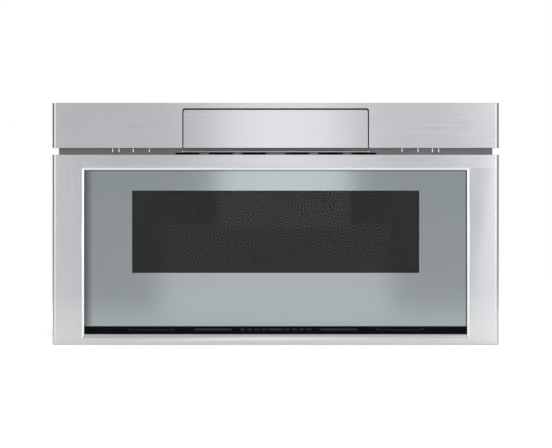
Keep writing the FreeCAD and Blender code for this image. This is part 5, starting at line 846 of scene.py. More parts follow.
# %% Helpers for whole pieces
def choose(pieces):
    """Selects some pieces only, the first one active."""
    bpy.ops.object.select_all(action="DESELECT")
    for piece in pieces:
        piece.select_set(True)
    bpy.context.view_layer.objects.active = pieces[0]


def cut_away(piece, cutter):
    """Takes a cutter out of a piece, and deletes the cutter."""
    choose([piece])
    use_modifier("BOOLEAN", operation="DIFFERENCE", solver="EXACT", object=cutter)
    bpy.data.objects.remove(cutter)


def copy_of(pattern, name, *moves):
    """A copy with its own mesh, and its place in that mesh."""
    piece = pattern.copy()
    piece.data = pattern.data.copy()
    bpy.context.collection.objects.link(piece)
    piece.name = name
    for move in moves:
        piece.data.transform(move)
    return piece


def hand_over(piece, body, finishes, replaced=(), quiet=False):
    """Gives a piece its finishes, smooth shading and body, and hides what it stands for.

    With no finishes the piece keeps its own. The weighted normals keep large flat faces flat,
    because these outweigh the small rounded ones beside them.
    """
    choose([piece])
    if finishes:
        piece.data.materials.clear()
    for finish in finishes:
        piece.data.materials.append(finish)
    bpy.ops.object.shade_smooth_by_angle(angle=math.radians(35))
    use_modifier("WEIGHTED_NORMAL", keep_sharp=True)
    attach(piece, body)
    if replaced:
        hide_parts(*replaced)
    if not quiet:
        print(piece.name, "has", len(piece.data.polygons), "faces")


print("helpers for whole pieces ready")

# %% [markdown]
# ## A studio of panels and flats
# Brushed steel has hardly a colour of its own: it shows the room. The world here is that room, as
# reflections see it: pale straight ahead and behind, a bright panel to each side of the lens, which
# puts the pale line on each rolled edge, and a dark flat beyond it, which puts the thin dark line
# outside the pale one. To the camera, and through glass, the world is plain white. The world's own
# light on matt surfaces comes at one plain level from all round.

# %% The room
FRONT_WHITE = 0.72
PANEL_WHITE = 1.55
SIDE_GREY = 0.20
AMBIENT = 0.55
PANEL_FROM = (20, 26)
FLAT_FROM = (60, 68)
FLAT_TO = (135, 165)


def make_room():
    """A world that is white to the eye, with panels and flats for reflections."""
    world = bpy.data.worlds.new("studio_room")
    bpy.context.scene.world = world
    world.use_nodes = True
    tree = world.node_tree
    background = tree.nodes["Background"]
    spot = axes(tree, add_node(tree, "TexCoord").outputs["Generated"])
    turn = calc(tree, "ARCTAN2", spot["X"], calc(tree, "MULTIPLY", spot["Y"], -1.0))
    turn = calc(tree, "DIVIDE", calc(tree, "ABSOLUTE", turn), math.pi)
    begin, enter, leave = [ranged(tree, turn, 0.0, 1.0, start / 180, end / 180)
                           for start, end in (PANEL_FROM, FLAT_FROM, FLAT_TO)]
    on_panel = calc(tree, "SUBTRACT", begin, enter, clamp=True)
    on_flat = calc(tree, "SUBTRACT", enter, leave, clamp=True)
    darker = calc(tree, "MULTIPLY", on_flat, FRONT_WHITE - SIDE_GREY)
    brighter = calc(tree, "MULTIPLY", on_panel, PANEL_WHITE - FRONT_WHITE)
    mirrored = calc(tree, "ADD", calc(tree, "SUBTRACT", FRONT_WHITE, darker), brighter)
    rays = add_node(tree, "LightPath").outputs
    seen = calc(tree, "MAXIMUM", rays["Is Camera Ray"], rays["Is Transmission Ray"])
    other = calc(tree, "SUBTRACT", 1.0, rays["Is Glossy Ray"], clamp=True)
    level = calc(tree, "ADD", calc(tree, "MULTIPLY", rays["Is Glossy Ray"], mirrored),
                 calc(tree, "MULTIPLY", other, AMBIENT))
    feed(tree, calc(tree, "MAXIMUM", level, seen), background.inputs["Strength"])
    feed(tree, (1.0, 1.0, 1.0), background.inputs["Color"])
    return world


print("world:", make_room().name)

# %% [markdown]
# ## The floor
# The drawer's front hangs 16 mm below the chassis, because a built-in drawer stands on a shelf
# and its front covers the shelf's edge. The floor is therefore one sheet with a step: low in
# front, and high under the chassis. Light Path lifts the floor to white where the camera or a
# reflection sees it, and the object's shadow stays because the lift is added to the lit colour.

# %% A stepped floor
FLOOR_REACH = 9.0
FLOOR_STEP = -4 * MM
FLOOR_LIFT = 0.55
MIRRORED_LIFT = 0.18


def make_floor():
    """One sheet, at the front's lower edge before the step and at zero behind it."""
    bpy.ops.object.select_all(action="DESELECT")
    middle = (0, (FLOOR_STEP - FLOOR_REACH) / 2, FRONT_BOTTOM)
    bpy.ops.mesh.primitive_plane_add(size=1, location=middle)
    floor = bpy.context.object
    floor.name = "studio_floor"
    floor.scale = (2 * FLOOR_REACH, FLOOR_STEP + FLOOR_REACH, 1)
    bpy.ops.object.transform_apply(location=True, rotation=True, scale=True)
    with editing():
        pick("EDGE", at("y", FLOOR_STEP))
        draw_out(0, 0, -FRONT_BOTTOM)
        draw_out(0, FLOOR_REACH - FLOOR_STEP, 0)
    return floor


def floor_paint():
    """A pale matt floor that shows white to the camera, and keeps the shadow."""
    material, tree, shader, place = new_material("floor_paint", Roughness=0.9)
    grain = texture(tree, "Noise", place, Scale=3.0, Detail=3.0)
    paint = shades(tree, grain["Fac"], (0.82, 0.82, 0.82), (0.86, 0.86, 0.86))
    feed(tree, paint, shader.inputs["Base Color"])
    rays = add_node(tree, "LightPath").outputs
    seen = calc(tree, "MAXIMUM", rays["Is Camera Ray"], rays["Is Transmission Ray"])
    lift = calc(tree, "MAXIMUM", calc(tree, "MULTIPLY", seen, FLOOR_LIFT),
                calc(tree, "MULTIPLY", rays["Is Glossy Ray"], MIRRORED_LIFT))
    feed(tree, (1.0, 1.0, 1.0), shader.inputs["Emission Color"])
    feed(tree, lift, shader.inputs["Emission Strength"])
    return material


floor = make_floor()
floor.data.materials.append(floor_paint())
print("floor levels:", sorted({round(vertex.co.z, 4) for vertex in floor.data.vertices}))

# %% [markdown]
# ## Lamps
# A large soft lamp high in front gives the even light, and one behind shows the back and the top in
# other views. Neither shows in reflections. Two tall softboxes brighten the steel towards its sides,
# a small one near the lens makes the tilting panel and the glass brightest at their middle, and a
# low one does the same for the foot of the glass.

# %% Softboxes
LAMPS = [
    # name, place, aimed at, width, height, watts, shows in reflections
    ("overhead", (0.0, -1.6, 2.6), (0, 0.1, 0.2), 2.4, 1.6, 22, False),
    ("right_softbox", (0.80, -2.6, 0.4), (0, 0, 0.2), 0.4, 1.6, 4.6, True),
    ("left_softbox", (-0.92, -2.6, 0.4), (0, 0, 0.2), 0.4, 1.6, 2.4, True),
    ("lens_softbox", (0.018, -2.2, 0.45), (0.018, 0, 0.45), 0.29, 0.54, 0.36, True),
    ("low_softbox", (0.0, -2.2, 0.09), (0.0, 0, 0.09), 0.5, 0.2, 0.11, True),
    ("rear_softbox", (0.6, 2.2, 1.6), (0, 0.1, 0.2), 2.0, 1.4, 26, False),
]
for name, place, aim, width, height, power, shown in LAMPS:
    bpy.ops.object.select_all(action="DESELECT")
    bpy.ops.object.light_add(type="AREA", location=place)
    lamp = bpy.context.object
    lamp.name = name
    lamp.data.shape = "RECTANGLE"
    lamp.data.size = width
    lamp.data.size_y = height
    lamp.data.energy = power
    lamp.rotation_euler = (Vector(aim) - Vector(place)).to_track_quat("-Z", "Y").to_euler()
    lamp.visible_camera = False
    lamp.visible_glossy = shown

# %% [markdown]
# ## The drawer's front frame
# On the real drawer the stainless border is one pressed sheet: its upright edges are rolled over a
# radius, its four sides slope down to the glass in a narrow polished bevel, and a short lip holds
# the glass. Under the glass the slope is taller and keeps the brushed finish. The border could be
# built from four mitred strips, but a box whose front is cut, pushed in and drawn together keeps
# the corners closed and makes each width a single number.

# %% Sizes of the frame
frame_low, frame_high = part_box("front_frame")
glass_low, glass_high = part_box("door_glass")
EDGE_RADIUS = 6.2 * MM
BOTTOM_RADIUS = 2.5 * MM
SHEET = 1.2 * MM
FINE_EDGE = 0.3 * MM
BEVEL_SIDE = 3.5 * MM
BEVEL_BOTTOM = 6.7 * MM
BEVEL_DEPTH = 1.9 * MM
LIP_GAP = 0.1 * MM
# The visible glass inside the bevel: half its width, its lower and its upper edge.
SIGHT_HALF = 325.5 * MM
SIGHT_LOW = 2.4 * MM
SIGHT_HIGH = 281.4 * MM
# How the faces of the slope are told from the others once the edges are rounded.
SLOPE_SLACK = 0.2 * MM
SLOPE_ZONE = 4 * MM
ALMOST_FLAT = 0.985
CLEARLY_TURNED = 0.15
outer_half = SIGHT_HALF + BEVEL_SIDE
outer_low = SIGHT_LOW - BEVEL_BOTTOM
outer_high = SIGHT_HIGH + BEVEL_SIDE
print("frame from", rounded(frame_low), "to", rounded(frame_high))


# %% Its edges and faces, by their place
def roll_front(low, high):
    """Rolls the two upright front edges of a box, and opens its back."""
    front = lambda edge: runs_along(edge, "z") and at("y", low.y)(edge)
    round_off("EDGE", front, EDGE_RADIUS, 6)
    take_off(at("y", high.y))


def on_bottom_edge(edge):
    """Whether an edge goes round the bottom of the front, where two faces meet squarely."""
    level = near(edge.verts[0].co.z, edge.verts[1].co.z) and at("z", frame_low.z)(edge)
    if not level or at("y", frame_high.y)(edge) or len(edge.link_faces) != 2:
        return False
    return abs(edge.link_faces[0].normal.dot(edge.link_faces[1].normal)) < 0.5


def within_bevel(place, slack=0.0):
    """Whether a place is within the outline of the bevel, seen from the front."""
    return abs(place.x) < outer_half + slack and outer_low - slack < place.z < outer_high + slack


def on_crease(edge):
    """Whether an edge lies on the crease between the flat border and the bevel."""
    place = middle_of(edge)
    on_line = near(abs(place.x), outer_half) or near(place.z, outer_low) or near(place.z, outer_high)
    return on_line and near(place.y, frame_low.y) and within_bevel(place, TINY)


def bevel_finish(face):
    """Which finish a face takes: 0 the border, 1 the polished bevel with its painted highlight, 2 the slope
    under the glass.
    """
    place, normal = face.center, face.normal
    sloped = CLEARLY_TURNED < -normal.y < ALMOST_FLAT and place.y < frame_low.y + SLOPE_ZONE
    if not (sloped and within_bevel(place, SLOPE_SLACK)):
        return 0
    return 2 if place.z < SIGHT_LOW and abs(normal.z) > CLEARLY_TURNED else 1


print("the bevel's outline:", rounded((outer_half, outer_low, outer_high)))


# %% The frame, from a box
def front_frame():
    """The stainless border with its bevel and lip."""
    piece = add_box("drawer_front_frame", frame_low, frame_high)
    centre_z = (outer_low + outer_high) / 2
    height_share = (SIGHT_HIGH - SIGHT_LOW) / (outer_high - outer_low)
    with editing():
        roll_front(frame_low, frame_high)
        slice_at("x", -outer_half, outer_half)
        slice_at("z", outer_low, outer_high)
        round_off("EDGE", on_bottom_edge, BOTTOM_RADIUS, 4)
        pick("FACE", lambda face: at("y", frame_low.y)(face) and within_bevel(middle_of(face)))
        draw_out(0, BEVEL_DEPTH, 0)
        bpy.ops.transform.resize(value=(SIGHT_HALF / outer_half, 1, height_share),
                                 center_override=(0, frame_low.y, centre_z))
        bpy.ops.transform.translate(value=(0, 0, (SIGHT_LOW + SIGHT_HIGH) / 2 - centre_z))
        draw_out(0, glass_low.y - LIP_GAP - frame_low.y - BEVEL_DEPTH, 0)
        bpy.ops.mesh.delete(type="FACE")
    for finish in (border_steel, bevel_steel_with_painted_highlight, band_steel):
        piece.data.materials.append(finish)
    thicken(SHEET)
    soften(FINE_EDGE, 30)
    with editing():
        print("crease edges:", pick("EDGE", on_crease))
        bpy.ops.mesh.mark_sharp()
    for face in piece.data.polygons:
        face.material_index = bevel_finish(face)
    return piece


hand_over(front_frame(), "drawer", (), ["front_frame"])

# %% [markdown]
# ## The glass pane
# The outer glass is one pane with ground edges. Its mirror coating is left off over the window.
# It could be a clear solid with a coated sheet behind it, but light would cross the glass four
# times for what the eye sees as one surface. One pane is cut along the window's outline instead,
# and takes the coating on the outer faces and clear glass on the window's.

# %% The pane
WINDOW_HALF = 244 * MM
WINDOW_LOW = 106.6 * MM
WINDOW_HIGH = 246.5 * MM
GROUND_EDGE = 0.6 * MM


def glass_pane():
    """The outer glass, with mirror-coated faces round a clear window."""
    piece = add_box("outer_glass", glass_low, glass_high)
    with editing():
        round_off("EDGE", lambda edge: True, GROUND_EDGE, 2)
        slice_at("x", -WINDOW_HALF, WINDOW_HALF)
        slice_at("z", WINDOW_LOW, WINDOW_HIGH)
    piece.data.materials.append(door_mirror)
    piece.data.materials.append(door_glass)
    for face in piece.data.polygons:
        in_window = abs(face.center.x) < WINDOW_HALF and WINDOW_LOW < face.center.z < WINDOW_HIGH
        face.material_index = 1 if in_window and abs(face.normal.y) > 0.9 else 0
    return piece


hand_over(glass_pane(), "drawer", (), ["door_glass", "glass_mask"])

# %% [markdown]
# ## The console band
# The band above the drawer is one folded sheet. Its upright outer edges are rolled like the
# drawer's, and an opening is cut from its lower edge for the tilting panel, with rounded upper
# corners. It could be cut with a boolean, but slicing the box along the opening's outline and
# deleting those faces leaves clean edges that a bevel can round.

# %% The band, from a box
OPENING_HALF = 158.6 * MM
OPENING_TOP = 386.2 * MM
OPENING_CORNER = 4.5 * MM


def console_band():
    """The band with its opening, as folded sheet."""
    low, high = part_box("console_band")
    piece = add_box("front_band", low, high)
    between = lambda face: abs(middle_of(face).x) < OPENING_HALF
    in_opening = lambda face: between(face) and at("y", low.y)(face) and middle_of(face).z < OPENING_TOP
    corner = lambda vertex: (near(abs(vertex.co.x), OPENING_HALF) and at("z", OPENING_TOP)(vertex)
                             and at("y", low.y)(vertex))
    with editing():
        roll_front(low, high)
        slice_at("x", -OPENING_HALF, OPENING_HALF)
        slice_at("z", OPENING_TOP)
        take_off(in_opening)
        take_off(lambda face: between(face) and at("z", low.z)(face))
        bpy.ops.mesh.select_all(action="SELECT")
        bpy.ops.mesh.dissolve_limited(angle_limit=math.radians(1))
        round_off("VERT", corner, OPENING_CORNER, 5)
    thicken(SHEET)
    soften(FINE_EDGE, 40)
    return piece


hand_over(console_band(), "oven", [band_steel], ["console_band"])

# %% [markdown]
# ## The bead in the gap
# In the gap under the tilting panel the front plate carries a low pressed bead, which stiffens it
# above its row of air slots and shows as one pale line. It takes the band's stainless finish,
# brighter than the plate's zinc, so that line is partly a painted highlight. The plate is the
# model's own solid, so the bead is a bar of its own laid on it: a box with its front drawn in and
# its edges rounded.

# %% A bar with drawn-in ends
BEAD_HALF = 160 * MM
BEAD_PROUD = 0.9 * MM
BEAD_WIDTH = 2.4 * MM
BEAD_LEVEL = 313.6 * MM
BEAD_DRAWN_IN = 3 * MM


def plate_bead():
    """The pressed bead on the front plate."""
    plate_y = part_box("front_plate")[0].y
    front_y = plate_y - BEAD_PROUD
    low = (-BEAD_HALF, front_y, BEAD_LEVEL - BEAD_WIDTH / 2)
    piece = add_box("plate_bead", low, (BEAD_HALF, plate_y, BEAD_LEVEL + BEAD_WIDTH / 2))
    with editing():
        pick("FACE", at("y", front_y))
        bpy.ops.transform.resize(value=(1 - BEAD_DRAWN_IN / BEAD_HALF, 1, 0.6),
                                 center_override=(0, front_y, BEAD_LEVEL))
    soften(FINE_EDGE, 30, segments=3)
    return piece


# The bead takes the brighter band steel, not the plate's zinc: a painted highlight.
hand_over(plate_bead(), "oven", [band_steel])

# %% [markdown]
# ## The tilting panel
# The panel in the opening tips out to show the touch keys. It is a sheet whose top edge is folded
# back over the key glass, with rounded corners that follow the opening's. A plane, bevelled at two
# corners and with its top and bottom edges drawn back, keeps the same gap all the way round.

# %% The panel, from a plane
PANEL_HEM = 4 * MM
PANEL_CORNER = 3.5 * MM
PANEL_EDGE = 0.35 * MM


def tilting_panel():
    """The tilting panel's outer sheet."""
    low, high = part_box("flap_skin")
    bpy.ops.object.select_all(action="DESELECT")
    middle = ((low.x + high.x) / 2, low.y, (low.z + high.z) / 2)
    bpy.ops.mesh.primitive_plane_add(size=1, location=middle, rotation=(math.pi / 2, 0, 0))
    piece = bpy.context.object
    piece.name = "tilting_panel"
    piece.scale = (high.x - low.x, high.z - low.z, 1)
    bpy.ops.object.transform_apply(location=True, rotation=True, scale=True)
    with editing():
        round_off("VERT", at("z", high.z), PANEL_CORNER, 5)
        pick("EDGE", at("z", high.z))
        draw_out(0, high.y - low.y, 0)
        pick("EDGE", at("z", low.z))
        draw_out(0, PANEL_HEM, 0)
        bpy.ops.mesh.select_all(action="SELECT")
        bpy.ops.mesh.normals_make_consistent(inside=False)
    if max(piece.data.polygons, key=lambda face: face.area).normal.y > 0:
        with editing():
            bpy.ops.mesh.select_all(action="SELECT")
            bpy.ops.mesh.flip_normals()
    thicken(SHEET)
    soften(PANEL_EDGE, 40)
    return piece


hand_over(tilting_panel(), "flap", [flap_steel], ["flap_skin"])

# %% [markdown]
# ## The strip under the glass
# Air for cooling is drawn in below the glass, through a black strip with a row of slots: one in the
# middle, four short ones and a long one on each side of it, and outermost a slot with raised ends.
# Each slot was made by a round-ended punch, so each cutter here is a flat block whose short ends
# are rounded, and a boolean takes it out of the strip.

# %% The strip and its punched slots, in millimetres from the middle
STRIP_THICK = 2 * MM
STRIP_EDGE = 0.25 * MM
TOP_HEM = 1 * MM
STRIP_HEM_EDGE = 0.2 * MM
CUT_BEFORE = 1 * MM
CUT_BEYOND = 6 * MM
ROUND_END = 0.49
SLOT_LEVEL = 10.5 * MM
SLOT_HALF = 1.6 * MM
HORN_DROP = 0.6 * MM
MIDDLE_SLOT = 13.0
SHORT_SLOT = (14.6, 24.2)
SHORT_STEP = 12.3
LONG_SLOT = (74.4, 139.0)
TRAY = (174, 249)
HORNS = ((171, 176.5), (246.5, 252))
strip_low, strip_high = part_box("lower_grille")


def slot_cutter(start, end, low, high):
    """A round-ended block, as a punch would be. Start and end are in millimetres."""
    start, end = sorted((start * MM, end * MM))
    cutter = add_box("slot_cutter", (start, strip_low.y - CUT_BEFORE, low),
                     (end, strip_low.y + CUT_BEYOND, high))
    radius = min(end - start, high - low) * ROUND_END
    with editing():
        round_off("EDGE", lambda edge: runs_along(edge, "y"), radius, 4)
    return cutter


def air_strip():
    """The black strip with its slots, mirrored about the middle."""
    piece = add_box("air_strip", strip_low, (strip_high.x, strip_low.y + STRIP_THICK, strip_high.z))
    foot, head = SLOT_LEVEL - SLOT_HALF, SLOT_LEVEL + SLOT_HALF
    spans = [tuple(edge + SHORT_STEP * number for edge in SHORT_SLOT) for number in range(4)] + [LONG_SLOT]
    slots = [(-MIDDLE_SLOT, MIDDLE_SLOT, foot, head)]
    for side in (1, -1):
        slots += [(side * start, side * end, foot, head) for start, end in spans]
    for side in (-1, 1):
        slots.append((side * TRAY[0], side * TRAY[1], foot, SLOT_LEVEL))
        slots += [(side * start, side * end, SLOT_LEVEL - HORN_DROP, head) for start, end in HORNS]
    for cutter in [slot_cutter(*slot) for slot in slots]:
        cut_away(piece, cutter)
    soften(STRIP_EDGE, 50)
    print(len(slots), "slots")
    return piece


hand_over(air_strip(), "drawer", [strip_black])

# %% The strip's turned-back edges
hem_levels = ((strip_low.z, strip_low.z + STRIP_THICK), (strip_high.z - TOP_HEM, strip_high.z))
for number, (low_z, high_z) in enumerate(hem_levels):
    hem = add_box(f"air_strip_hem_{number}", (strip_low.x, strip_low.y + STRIP_THICK, low_z),
                  (strip_high.x, strip_high.y, high_z))
    soften(STRIP_HEM_EDGE, 50)
    hand_over(hem, "drawer", [strip_black], ["lower_grille"])

# %% [markdown]
# ## The places of repeated parts
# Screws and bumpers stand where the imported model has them. Each node that holds several of them
# is read once: a copy of its mesh is merged and taken apart into its loose islands, and each
# island's box says where one screw sits and which way it points.


# %% Reading loose islands
MERGE = 0.001 * MM


def islands(name):
    """The boxes of a node's separate solids, lowest and highest corner each."""
    mesh = bmesh.new()
    mesh.from_mesh(NODES[name].data)
    bmesh.ops.remove_doubles(mesh, verts=mesh.verts, dist=MERGE)
    waiting = set(mesh.verts)
    boxes = []
    while waiting:
        island = {waiting.pop()}
        unread = list(island)
        while unread:
            vertex = unread.pop()
            fresh = {edge.other_vert(vertex) for edge in vertex.link_edges} - island
            island |= fresh
            unread += fresh
        waiting -= island
        spots = [vertex.co for vertex in island]
        boxes.append(tuple(Vector([extreme(spot[axis] for spot in spots) for axis in range(3)])
                           for extreme in (min, max)))
    mesh.free()
    return sorted(boxes, key=lambda corners: tuple(corners[0]))


for name in ("case_screws", "drawer_screws", "bumpers"):
    print(name, len(islands(name)))

# %% [markdown]
# ## Pan-head screws
# The case and the drawer's front are held by pan-head screws with a cross recess. One is modelled:
# a cylinder whose rim is bevelled into a pan, a cross cut by two crossed blocks, and a shank with
# a few thread turns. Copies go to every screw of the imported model.

# %% One screw
HEAD_RADIUS = 3.8 * MM
HEAD_HEIGHT = 2.0 * MM
HEAD_ROUND = 1.1 * MM
RECESS_HALF = 2.0 * MM
RECESS_WIDTH = 0.9 * MM
RECESS_FLOOR = 0.9 * MM
ABOVE_HEAD = 1 * MM
SHANK_RADIUS = 1.9 * MM
CORE_SHARE = 0.82
CREST_SHARE = 0.84
THREAD_PITCH = 0.9 * MM
THREAD_HALF = 0.25 * MM
THREAD_START = 0.8 * MM
BARE_LENGTH = 1.2 * MM
INTO_HEAD = 0.2 * MM


def add_cylinder(name, radius, low, high, sides=24):
    """A cylinder primitive along Z."""
    bpy.ops.object.select_all(action="DESELECT")
    middle = (0, 0, (low + high) / 2)
    bpy.ops.mesh.primitive_cylinder_add(vertices=sides, radius=radius, depth=high - low, location=middle)
    bpy.ops.object.transform_apply(location=True, rotation=True, scale=True)
    bpy.context.object.name = name
    return bpy.context.object


def pan_head():
    """The head, standing on zero, with its cross recess."""
    head = add_cylinder("screw_head", HEAD_RADIUS, 0, HEAD_HEIGHT)
    with editing():
        round_off("EDGE", at("z", HEAD_HEIGHT), HEAD_ROUND, 4)
    for turn in (0, 90):
        arm = add_box("recess", (-RECESS_HALF, -RECESS_WIDTH / 2, RECESS_FLOOR),
                      (RECESS_HALF, RECESS_WIDTH / 2, HEAD_HEIGHT + ABOVE_HEAD))
        arm.rotation_euler.z = math.radians(turn)
        bpy.ops.object.transform_apply(location=True, rotation=True, scale=True)
        cut_away(head, arm)
    return head


def pan_head_screw(length):
    """A screw seated at zero, its head up."""
    head = pan_head()
    shank = add_cylinder("screw_shank", SHANK_RADIUS * CORE_SHARE, -length, INTO_HEAD, sides=16)
    turns = []
    for number in range(int((length - BARE_LENGTH) / THREAD_PITCH)):
        level = -THREAD_START - number * THREAD_PITCH
        turns.append(add_cylinder("thread", SHANK_RADIUS, level - THREAD_HALF, level + THREAD_HALF, sides=16))
        with editing():
            pick("FACE", lambda face: abs(face.normal.z) > 0.9)
            bpy.ops.transform.resize(value=(CREST_SHARE, CREST_SHARE, 1.0), center_override=(0, 0, level))
    choose([head, shank] + turns)
    bpy.ops.object.join()
    return bpy.context.object


print("screw head:", rounded((2 * HEAD_RADIUS, HEAD_HEIGHT)), "m across and high")


# %% Its copies
def head_side(node_name, low, high, axis):
    """1 or -1, the end of a screw where its vertices stand furthest from its axis."""
    middle = (low + high) / 2
    others = [number for number in range(3) if number != axis]
    reach = {1: 0.0, -1: 0.0}
    for vertex in NODES[node_name].data.vertices:
        spot = vertex.co
        if all(low[number] - TINY <= spot[number] <= high[number] + TINY for number in range(3)):
            side = 1 if spot[axis] > middle[axis] else -1
            off = math.hypot(*(spot[number] - middle[number] for number in others))
            reach[side] = max(reach[side], off)
    return 1 if reach[1] > reach[-1] else -1


def add_screws(node_name, body):
    """Copies of the screw at every island of a node, one pattern for each length."""
    patterns = {}
    boxes = islands(node_name)
    for count, (low, high) in enumerate(boxes, start=1):
        size = high - low
        axis = max(range(3), key=lambda number: size[number])
        length = round(size[axis] - HEAD_HEIGHT, 5)
        if length not in patterns:
            patterns[length] = pan_head_screw(length)
        outward = head_side(node_name, low, high, axis)
        seat = (low + high) / 2
        seat[axis] = high[axis] - HEAD_HEIGHT if outward > 0 else low[axis] + HEAD_HEIGHT
        direction = Vector([outward if number == axis else 0 for number in range(3)])
        turn = direction.to_track_quat("Z", "Y").to_matrix().to_4x4()
        screw = copy_of(patterns[length], f"{node_name}_{count:02d}", turn, Matrix.Translation(seat))
        hand_over(screw, body, [screw_zinc], [node_name], quiet=True)
    for pattern in patterns.values():
        bpy.data.objects.remove(pattern)
    print(node_name, len(boxes), "screws of", len(patterns), "lengths")


add_screws("case_screws", "oven")
add_screws("drawer_screws", "drawer")

# %% [markdown]
# ## The tub
# The drawer proper is a shallow stainless tub, drawn from sheet, so its rear corners are round
# and its rim is rolled outwards. It is flanged at the front, where it is screwed to the drawer's
# front. It is made as a thin skin: a box without its top, with the mouth and the floor's opening
# sliced out of it, and the rim drawn out from its upper edge. Thickness comes last.

# %% The tub's skin
TUB_BACK = 412 * MM
TUB_FLANGE = 18 * MM
TUB_WALL = 1.2 * MM
TUB_CORNER = 10 * MM
RIM = 3 * MM
RIM_START = 2 * MM
LEDGE = 14 * MM


def tub_shell():
    """The tub's skin, with its mouth and its floor opening."""
    low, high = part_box("tub")
    half, top = high.x - RIM, high.z
    mouth_half, mouth_low = half - TUB_FLANGE, low.z + TUB_FLANGE
    floor_half = half - TUB_WALL - LEDGE
    floor_front, floor_back = low.y + TUB_WALL + LEDGE, TUB_BACK - TUB_WALL - LEDGE
    piece = add_box("tub_shell", (-half, low.y, low.z), (half, TUB_BACK, top))
    in_mouth = lambda face: (at("y", low.y)(face) and abs(middle_of(face).x) < mouth_half
                             and middle_of(face).z > mouth_low)
    in_floor = lambda face: (at("z", low.z)(face) and abs(middle_of(face).x) < floor_half
                             and floor_front < middle_of(face).y < floor_back)
    rear_corner = lambda edge: (runs_along(edge, "z") and at("y", TUB_BACK)(edge)
                                and near(abs(middle_of(edge).x), half))
    on_rim = lambda edge: at("z", top)(edge) and middle_of(edge).y > RIM_START and edge.is_boundary
    with editing():
        take_off(at("z", top))
        slice_at("x", -floor_half, -mouth_half, mouth_half, floor_half)
        slice_at("z", mouth_low)
        slice_at("y", RIM_START, floor_front, floor_back)
        take_off(in_mouth)
        take_off(in_floor)
        round_off("EDGE", rear_corner, TUB_CORNER, 6)
        pick("EDGE", on_rim)
        draw_out(0, 0, 0)
        stretch = ((half + RIM) / half, (TUB_BACK + RIM - RIM_START) / (TUB_BACK - RIM_START), 1)
        bpy.ops.transform.resize(value=stretch, center_override=(0, RIM_START, top))
        draw_out(0, 0, -RIM / 2)
    thicken(TUB_WALL)
    soften(FINE_EDGE, 50)
    return piece


hand_over(tub_shell(), "drawer", [tub_steel], ["tub"])

# %% [markdown]
# ## The ceramic shelf
# Food stands on a plate of pale glass ceramic that lets the microwaves through from below. Its
# edges are ground to a small chamfer, and its rear corners follow the tub's, so it drops in
# without a gap at the corners.

# %% The plate
SHELF_CORNER = 2 * MM
SHELF_CHAMFER = 0.8 * MM


def shelf_plate():
    """The glass-ceramic plate."""
    low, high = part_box("ceramic_shelf")
    piece = add_box("shelf_plate", low, high)
    with editing():
        for y, corner, segments in ((high.y, TUB_CORNER, 8), (low.y, SHELF_CORNER, 4)):
            round_off("EDGE", lambda edge: runs_along(edge, "z") and at("y", y)(edge), corner, segments)
        level = lambda edge: near(edge.verts[0].co.z, edge.verts[1].co.z)
        round_off("EDGE", level, SHELF_CHAMFER, 2)
    return piece


hand_over(shelf_plate(), "drawer", [shelf_ceramic], ["ceramic_shelf"])

# %% [markdown]
# ## The choke cover
# Round the oven's mouth runs a trough that stops stray microwaves. A black moulded frame covers
# it on the drawer's side, soft at its edges as moulded parts are, round its opening as well.

# %% The moulded frame
COVER_CORNER = 4 * MM
COVER_EDGE = 0.6 * MM
MOUTH_HALF = 214.3 * MM
MOUTH_LOW = 88.7 * MM
MOUTH_HIGH = 262 * MM
BEYOND = 5 * MM


def choke_frame():
    """The cover of the choke, a moulded frame."""
    low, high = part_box("choke_cover")
    piece = add_box("choke_frame", low, high)
    with editing():
        round_off("EDGE", lambda edge: runs_along(edge, "y"), COVER_CORNER, 4)
    hole = add_box("hole", (-MOUTH_HALF, low.y - BEYOND, MOUTH_LOW),
                   (MOUTH_HALF, high.y + BEYOND, MOUTH_HIGH))
    cut_away(piece, hole)
    soften(COVER_EDGE, 50, segments=3)
    return piece


hand_over(choke_frame(), "drawer", [cover_black], ["choke_cover"])

# %% [markdown]
# ## Bumpers
# Four rubber pads on the drawer's back panel take the knock when the drawer shuts. One is modelled
# as a short cylinder with a soft rim and a dished middle, and copied to the four places.

# %% One bumper and its copies
PAD_DISH = 0.6 * MM
DISH_INSET = 0.45
PAD_RIM = 1.0 * MM


def bumper_pad(height, radius):
    """A round pad standing on zero."""
    pad = add_cylinder("bumper_pattern", radius, 0, height, sides=32)
    with editing():
        pick("FACE", at("z", height))
        bpy.ops.mesh.inset(thickness=radius * DISH_INSET)
        bpy.ops.transform.translate(value=(0, 0, -PAD_DISH))
        round_off("EDGE", at("z", height), PAD_RIM, 3)
    return pad


pad_boxes = islands("bumpers")
pad_size = pad_boxes[0][1] - pad_boxes[0][0]
pattern = bumper_pad(pad_size.y, pad_size.x / 2)
to_front = Matrix.Rotation(math.radians(-90), 4, "X")
for number, (low, high) in enumerate(pad_boxes, start=1):
    seat = Vector(((low.x + high.x) / 2, low.y, (low.z + high.z) / 2))
    pad = copy_of(pattern, f"bumper_{number}", to_front, Matrix.Translation(seat))
    hand_over(pad, "drawer", [bumper_rubber], ["bumpers"])
bpy.data.objects.remove(pattern)

# %% [markdown]
# ## Marks on the key glass
# When the panel tips out, its upper edge shows a strip of black glass with the touch keys: a clock
# display at the left, number keys in the middle and the start and stop keys at the right. The
# marks are general ones in a plain typeface. Each is text turned into a mesh, which then lies
# on the glass as a thin print.

# %% Printing a mark and a key's outline
key_glass_low, key_glass_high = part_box("touch_glass")
PRINT_THICK = 0.06 * MM
OUTLINE = 0.45 * MM
KEY_CORNER = 1.6 * MM


